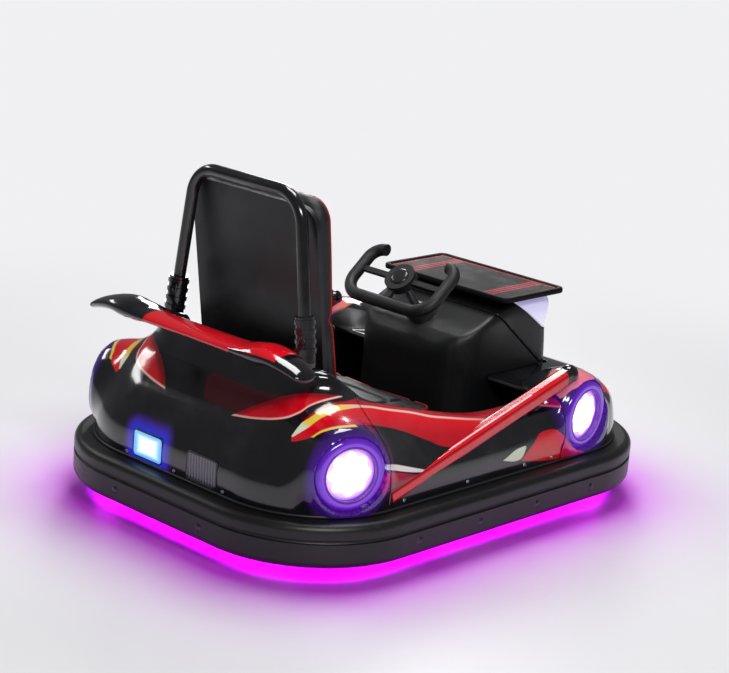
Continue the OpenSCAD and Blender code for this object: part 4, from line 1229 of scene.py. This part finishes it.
def add_cushion(kind, node, low, high, thick, sizes, face, bands, run, place):
    """A cushion in black vinyl, crowned and sewn in channels, with red piping and stitches. It is made with
    its thickness along one axis, then put in its place. Sizes: corner in plan, edge, cell, piping's corner."""
    along = 2 - thick
    order = [thick, 1, along]
    plan_r, edge, cell, piping_r = sizes
    inner_low, inner_high = low + EASE, high - EASE
    inner_low[thick], inner_high[thick] = low[thick], high[thick] - SWELL

    def form(p):
        return stadium(p[:, order], inner_low[order], inner_high[order], plan_r, edge)

    def hold(points, start):
        rests = start[:, thick] < low[thick] + 0.004
        points[:, thick] = np.where(rests, start[:, thick], points[:, thick])
        return np.clip(points, low, high)

    def behind_face(p):
        return np.where(p[:, thick] > face, 0, 1.0)

    def channel(p, middle):
        return np.abs(p[:, along] - middle) + behind_face(p) + np.where(np.abs(p[:, 1]) < BOLSTER, 0, 1.0)

    def dropped(spots, lift):
        """Points of the face under spots (across, along)."""
        above = np.empty((len(spots), 3))
        above[:, [1, along]] = spots
        above[:, thick] = high[thick] + DROP
        return onto(piece, above, -np.eye(3)[thick], lift)

    piece = surface("cushion_" + kind, form, inner_low - 0.012, inner_high + 0.012, cell)
    puff(piece, SWELL, hold)
    sew(piece, CHANNEL_DEEP, CHANNEL_W, lambda p: np.abs(np.abs(p[:, 1]) - BOLSTER) + behind_face(p),
        *(lambda p, middle=middle: channel(p, middle) for middle in bands))
    rim = outline_round(high[1] - PIPING_IN, low[along] + PIPING_IN, high[along] - PIPING_IN, piping_r)
    piping = tube("piping_" + kind, place(dropped(rim, -0.0005)), PIPING_R)
    runs = [dropped([(side * (BOLSTER + STITCH_OFF), v) for v in np.arange(*run, STITCH_STEP)], STITCH_LIFT)
            for side in (-1, 1)]
    threads = stitches("threads_" + kind, [[Vector(place(v)) for v in run] for run in runs])
    place_points(piece, place(points_of(piece.data)))
    dress(piece, bpy.data.materials["vinyl"], node)
    dress(piping, bpy.data.materials["piping"])
    dress(threads, bpy.data.materials["thread"])


def add_cushions():
    vinyl(Tree("vinyl"), srgb(22, 22, 25))
    vinyl(Tree("piping"), srgb(150, 10, 22), 0.3)
    satin(Tree("thread"), srgb(120, 14, 26), 0.6, 2400, 0.0002)
    low, high = np.array([0.0, -PAD_W / 2, PAD_UP]), np.array([PAD_T, PAD_W / 2, PAD_UP + PAD_H])
    bands = [PAD_UP + PAD_H * (k + 0.5) / 8 for k in range(1, 7)]
    add_cushion("back", "back_pad", low, high, 0, (0.055, 0.030, 0.0070, 0.05), PAD_T / 2, bands,
                (0.07, 0.55), on_pad)
    low, high = (np.array(v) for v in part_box("seat_cushion"))
    bands = [(low[0] + high[0]) / 2 + 0.056 * k for k in (-2, -1, 0, 1, 2)]
    add_cushion("seat", "seat_cushion", low, high, 2, (0.036, 0.026, 0.0062, 0.03), low[2] + 0.03, bands,
                (low[0] + 0.03, high[0] - 0.03), np.asarray)


def outline_round(half_y, low_z, high_z, radius):
    """Round-cornered outline in finely spaced points."""
    corners = [(half_y - radius, low_z + radius, -90), (half_y - radius, high_z - radius, 0),
               (radius - half_y, high_z - radius, 90), (radius - half_y, low_z + radius, 180)]
    points = []
    for k, (y, z, start) in enumerate(corners):
        points += arc(y, z, radius, start, start + 90, 10)
        next_y, next_z, next_start = corners[(k + 1) % 4]
        turn = math.radians(next_start)
        end = (next_y + radius * math.cos(turn), next_z + radius * math.sin(turn))
        steps = max(2, int(math.dist(points[-1], end) / 0.008))
        begin = points[-1]
        points += [tuple(b + (e - b) * j / steps for b, e in zip(begin, end)) for j in range(1, steps)]
    return points


# Console with its tray

DECK_TOP = 0.110
CONSOLE_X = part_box("console_cowl")[0].x
CONSOLE_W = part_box("console_cowl")[1].y
CONSOLE_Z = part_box("dash_tray")[0].z - 0.0003
CONSOLE_FRONT = HALF_L - 0.163
LAMP_H = 0.090
KNEE_R, FRONT_R, FACE_R, SHOULDER_R = 0.110, 0.050, 0.052, 0.090
SHELL_T = 0.009
CONSOLE_PLAN = (arc(CONSOLE_FRONT - FRONT_R, FRONT_R - CONSOLE_W, FRONT_R, -90, 0)
                + arc(CONSOLE_FRONT - FRONT_R, CONSOLE_W - FRONT_R, FRONT_R, 0, 90)
                + arc(CONSOLE_X + KNEE_R, CONSOLE_W - KNEE_R, KNEE_R, 90, 180)
                + arc(CONSOLE_X + KNEE_R, KNEE_R - CONSOLE_W, KNEE_R, 180, 270))
CONSOLE_SIDE = [(CONSOLE_X, -0.2), (CONSOLE_FRONT + 0.001, -0.2), (CONSOLE_FRONT - 0.004, NOSE_TOP),
                (CONSOLE_FRONT - 0.026, CONSOLE_Z - 0.086), (CONSOLE_FRONT + 0.014, CONSOLE_Z - 0.024),
                (CONSOLE_FRONT + 0.010, CONSOLE_Z - 0.012), (CONSOLE_X + 0.210, CONSOLE_Z),
                (CONSOLE_X + 0.160, CONSOLE_Z - 0.024),
                *arc(CONSOLE_X + SHOULDER_R, CONSOLE_Z - 0.152, SHOULDER_R, 125, 180)]
CONSOLE_FACE = [(-CONSOLE_W, -0.2), (CONSOLE_W, -0.2),
                *arc(CONSOLE_W - FACE_R, CONSOLE_Z - FACE_R, FACE_R, 0, 90),
                *arc(FACE_R - CONSOLE_W, CONSOLE_Z - FACE_R, FACE_R, 90, 180)]
FAR = 1.0
# Seam between the console's two mouldings, and the lamp's wedge under the tray, both from front to rear
SEAM_LINE = [(FAR, NOSE_TOP), (CONSOLE_FRONT - 0.042, NOSE_TOP), (CONSOLE_X + 0.096, CONSOLE_Z + 0.006),
             (CONSOLE_X + 0.070, FAR)]
LAMP_LINE = [(FAR, CONSOLE_Z - LAMP_H), (CONSOLE_FRONT - 0.040, CONSOLE_Z - LAMP_H),
             (CONSOLE_X + 0.200, CONSOLE_Z - 0.002), (CONSOLE_X + 0.200, FAR)]


def console_shape(p):
    x, y, z = p.T
    outer = soft_max(outline_distance(x, y, CONSOLE_PLAN), outline_distance(x, z, CONSOLE_SIDE), 0.018)
    outer = soft_max(outer, outline_distance(y, z, CONSOLE_FACE), 0.018)
    return np.maximum(np.maximum(outer, DECK_TOP - z), -(outer + SHELL_T))


def moved(line, by):
    return [(x + by * (x < FAR), z + by * (z < FAR)) for x, z in line]


def ahead_of(line):
    return prism(line + [(FAR, FAR)])


def behind(line):
    return prism([(-FAR, -FAR), (FAR, -FAR)] + line + [(-FAR, FAR)])


def add_console():
    """The console's two mouldings and lamp, parted at their seams, and the tray with its raised rim."""
    whole = surface("console", console_shape, (CONSOLE_X - 0.008, -CONSOLE_W - 0.008, DECK_TOP - 0.008),
                    (CONSOLE_FRONT + 0.008, CONSOLE_W + 0.008, CONSOLE_Z + 0.008), cell=0.0058)
    rear, front, lamp = (new_object("console_" + name, whole.data.copy()) for name in ("rear", "nose", "lamp"))
    bpy.data.objects.remove(whole)
    cut(rear, ahead_of(moved(SEAM_LINE, -SEAM)), column_cylinder(0.0185, -0.30, -0.05))
    cut(front, behind(moved(SEAM_LINE, SEAM)), ahead_of(moved(LAMP_LINE, -SEAM)))
    cut(lamp, behind(moved(LAMP_LINE, SEAM)))
    low, high = (np.array(v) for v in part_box("dash_tray"))

    def tray_shape(p):
        flat = p[:, [2, 0, 1]]
        body = stadium(flat, low[[2, 0, 1]], high[[2, 0, 1]], 0.020, 0.005)
        pocket = stadium(flat, np.array([high[2] - 0.004, low[0] + 0.012, low[1] + 0.012]),
                         np.array([high[2] + 0.02, high[0] - 0.012, high[1] - 0.012]), 0.012, 0.003)
        return soft_max(body, -pocket, 0.003)

    tray = surface("tray", tray_shape, low - 0.005, high + 0.005, cell=0.0036)
    nodes = ("console_cowl", "console_front", "front_lamp", "dash_tray")
    for piece, node in zip((rear, front, lamp, tray), nodes):
        dress(piece, NODES[node].data.materials[0], node)


# Steering column, small parts and trim

YOKE_C = Vector((CONSOLE_X - 0.018, 0, CONSOLE_Z + 0.036))
COLUMN_SLOPE = math.radians(50)
COLUMN_WAY = Vector((-math.cos(COLUMN_SLOPE), 0, math.sin(COLUMN_SLOPE)))
# Profiles. Columns: radius, height along the axis
BOOT = [(0.040, -0.152), (0.040, -0.141), (0.032, -0.134), (0.035, -0.127), (0.026, -0.121), (0.029, -0.115),
        (0.0205, -0.109), (0.0205, -0.102), (0.0118, -0.098)]
YOKE_CAP = [(0.0240, 0.0110), (0.0225, 0.0138), (0.018, 0.0155), (0.010, 0.0163), (0.0, 0.0165)]
BOLT = [(0.0102, -0.002), (0.0098, 0.0005), (0.0066, 0.0006), (0.0062, 0.0012), (0.0040, 0.0022),
        (0.0, 0.0024)]
SCREW = [(0.0048, -0.001), (0.0040, 0.0014), (0.0016, 0.0016), (0.0012, 0.0006), (0.0, 0.0006)]
LENS_RIM = [(LENS_R + 0.0070, 0.0030), (LENS_R + 0.0060, 0.0058), (LENS_R + 0.0035, 0.0068),
            (LENS_R + 0.0010, 0.0062), (LENS_R - 0.0005, 0.0045), (LENS_R - 0.0005, -0.006)]
# Places of the ring's bolts and the shells' screws, along the sides and across the ends
BOLTS_ALONG, BOLTS_ACROSS, BOLTS_Z = (-0.30, -0.10, 0.10, 0.30), (-0.14, 0.14), 0.080
SCREWS_ALONG, SCREWS_ACROSS = (-0.31, -0.10, 0.10, 0.20), (-0.16, 0.0, 0.16)
WELT_R, FRAME_R, FRAME_OUT = 0.0034, 0.0026, 0.0015


def column_cylinder(radius, low, high):
    """Cutter on the column's axis, between two distances from the yoke's middle."""
    piece = turned("cutter", [(radius, low), (radius, high)], [(YOKE_C, COLUMN_WAY)], 32)
    return edit(piece, close_ends, turn_out)


def around_car(inset, z, step=0.012):
    """Points of the car's outline in plan, inset from the ring's outer face."""
    points = []
    for sx, sy, start in ((1, 1, 0), (-1, 1, 90), (-1, -1, 180), (1, -1, 270)):
        points += arc(sx * (HALF_L - RING_R), sy * (HALF_W - RING_R), RING_R - inset, start, start + 90, 24)
    path = []
    for a, b in zip(points, points[1:] + points[:1]):
        parts = max(1, round(math.dist(a, b) / step))
        path += [(a[0] + (b[0] - a[0]) * k / parts, a[1] + (b[1] - a[1]) * k / parts, z) for k in range(parts)]
    return path


def both_ways(places, face, z, across=False):
    """Spots on the car's sides at places along it, or on its ends at places across it."""
    spots = [((place, way * face, z), (0, way, 0)) for way in (-1, 1) for place in places]
    if across:
        spots = [((y, x, z), (look_y, look_x, 0)) for (x, y, z), (look_x, look_y, _) in spots]
    return spots


def add_trim():
    """Bolts of the ring, screws of the shells, welt, window frames, lens rims, column boot and yoke cap."""
    names = ("zinc", "ring_rubber", "grip_rubber", "pod_violet", "hoop_black")
    zinc, black, grip, violet, hoop = (bpy.data.materials[name] for name in names)
    bolts = both_ways(BOLTS_ALONG, HALF_W, BOLTS_Z) + both_ways(BOLTS_ACROSS, HALF_L, BOLTS_Z, across=True)
    dress(turned("ring_bolts", BOLT, bolts), metal(Tree("bolt_steel"), srgb(84, 84, 90), 0.34))
    face_y, face_x = HALF_W - INSET, HALF_L - INSET
    screws = both_ways(SCREWS_ALONG, face_y, BASE_Z + 0.014)
    screws += both_ways(SCREWS_ACROSS, face_x, BASE_Z + 0.010, across=True)
    dress(turned("shell_screws", SCREW, screws, 16), zinc)
    dress(tube("welt", around_car(INSET - 0.002, BASE_Z + 0.001), WELT_R), black)
    for side in ("left", "right"):
        low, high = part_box("rear_window_" + side)
        middle, half = (low + high) / 2, (high - low) / 2 + Vector((0, FRAME_OUT, FRAME_OUT))
        path = [(-face_x + 0.0005, middle.y + y, middle.z + z)
                for y, z in outline_round(half.y, -half.z, half.z, 0.0095)]
        dress(tube("window_frame_" + side, path, FRAME_R), black)
    rims = [lamp_axis(lamp, side) for lamp in (REAR_LAMP, FRONT_LAMP) for side in (-1, 1)]
    dress(turned("lens_rims", LENS_RIM, rims, 64), violet)
    dress(turned("column_boot", BOOT, [(YOKE_C, COLUMN_WAY)], 40), grip)
    cap = turned("yoke_cap", YOKE_CAP, [(YOKE_C, COLUMN_WAY)], 40)
    cap.data.materials.append(hoop)
    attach(cap, "steering")


GROOVE_PLACES = (-0.012, 0, 0.012)
GROOVE_W, GROOVE_DEEP = 0.004, 0.0035
TYRE_T, TYRE_CORNER = 0.026, 0.012


def add_tread():
    """Drive tyre with grooves round it, in the place of the plain one."""
    low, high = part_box("drive_tyre")
    radius, half, corner = (high.z - low.z) / 2, (high.y - low.y) / 2, TYRE_CORNER
    bead = (radius - TYRE_T, 0.002 - half)
    profile = [bead] + arc(radius - corner, corner - half, corner, -90, 0)
    for middle in GROOVE_PLACES:
        top, foot, floor = GROOVE_W / 2, GROOVE_W / 3, radius - GROOVE_DEEP
        profile += [(radius, middle - top), (floor, middle - foot), (floor, middle + foot),
                    (radius, middle + top)]
    profile += arc(radius - corner, half - corner, corner, 0, 90) + [(bead[0], -bead[1]), bead]
    tyre = turned("tyre_grooved", profile, [((low + high) / 2, (0, 1, 0))], 72)
    tyre.data.set_sharp_from_angle(angle=math.radians(35))
    tyre.data.materials.append(bpy.data.materials["tyre_rubber"])
    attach(tyre, "drive_wheel")
    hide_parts("drive_tyre")


add_camera()
finish_nodes()
add_stage()
add_shells()
add_wing()
add_cushions()
add_console()
add_trim()
add_tread()

[list(map(float, corner)) for corner in cad_box]
[list(map(float, corner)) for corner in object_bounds()]
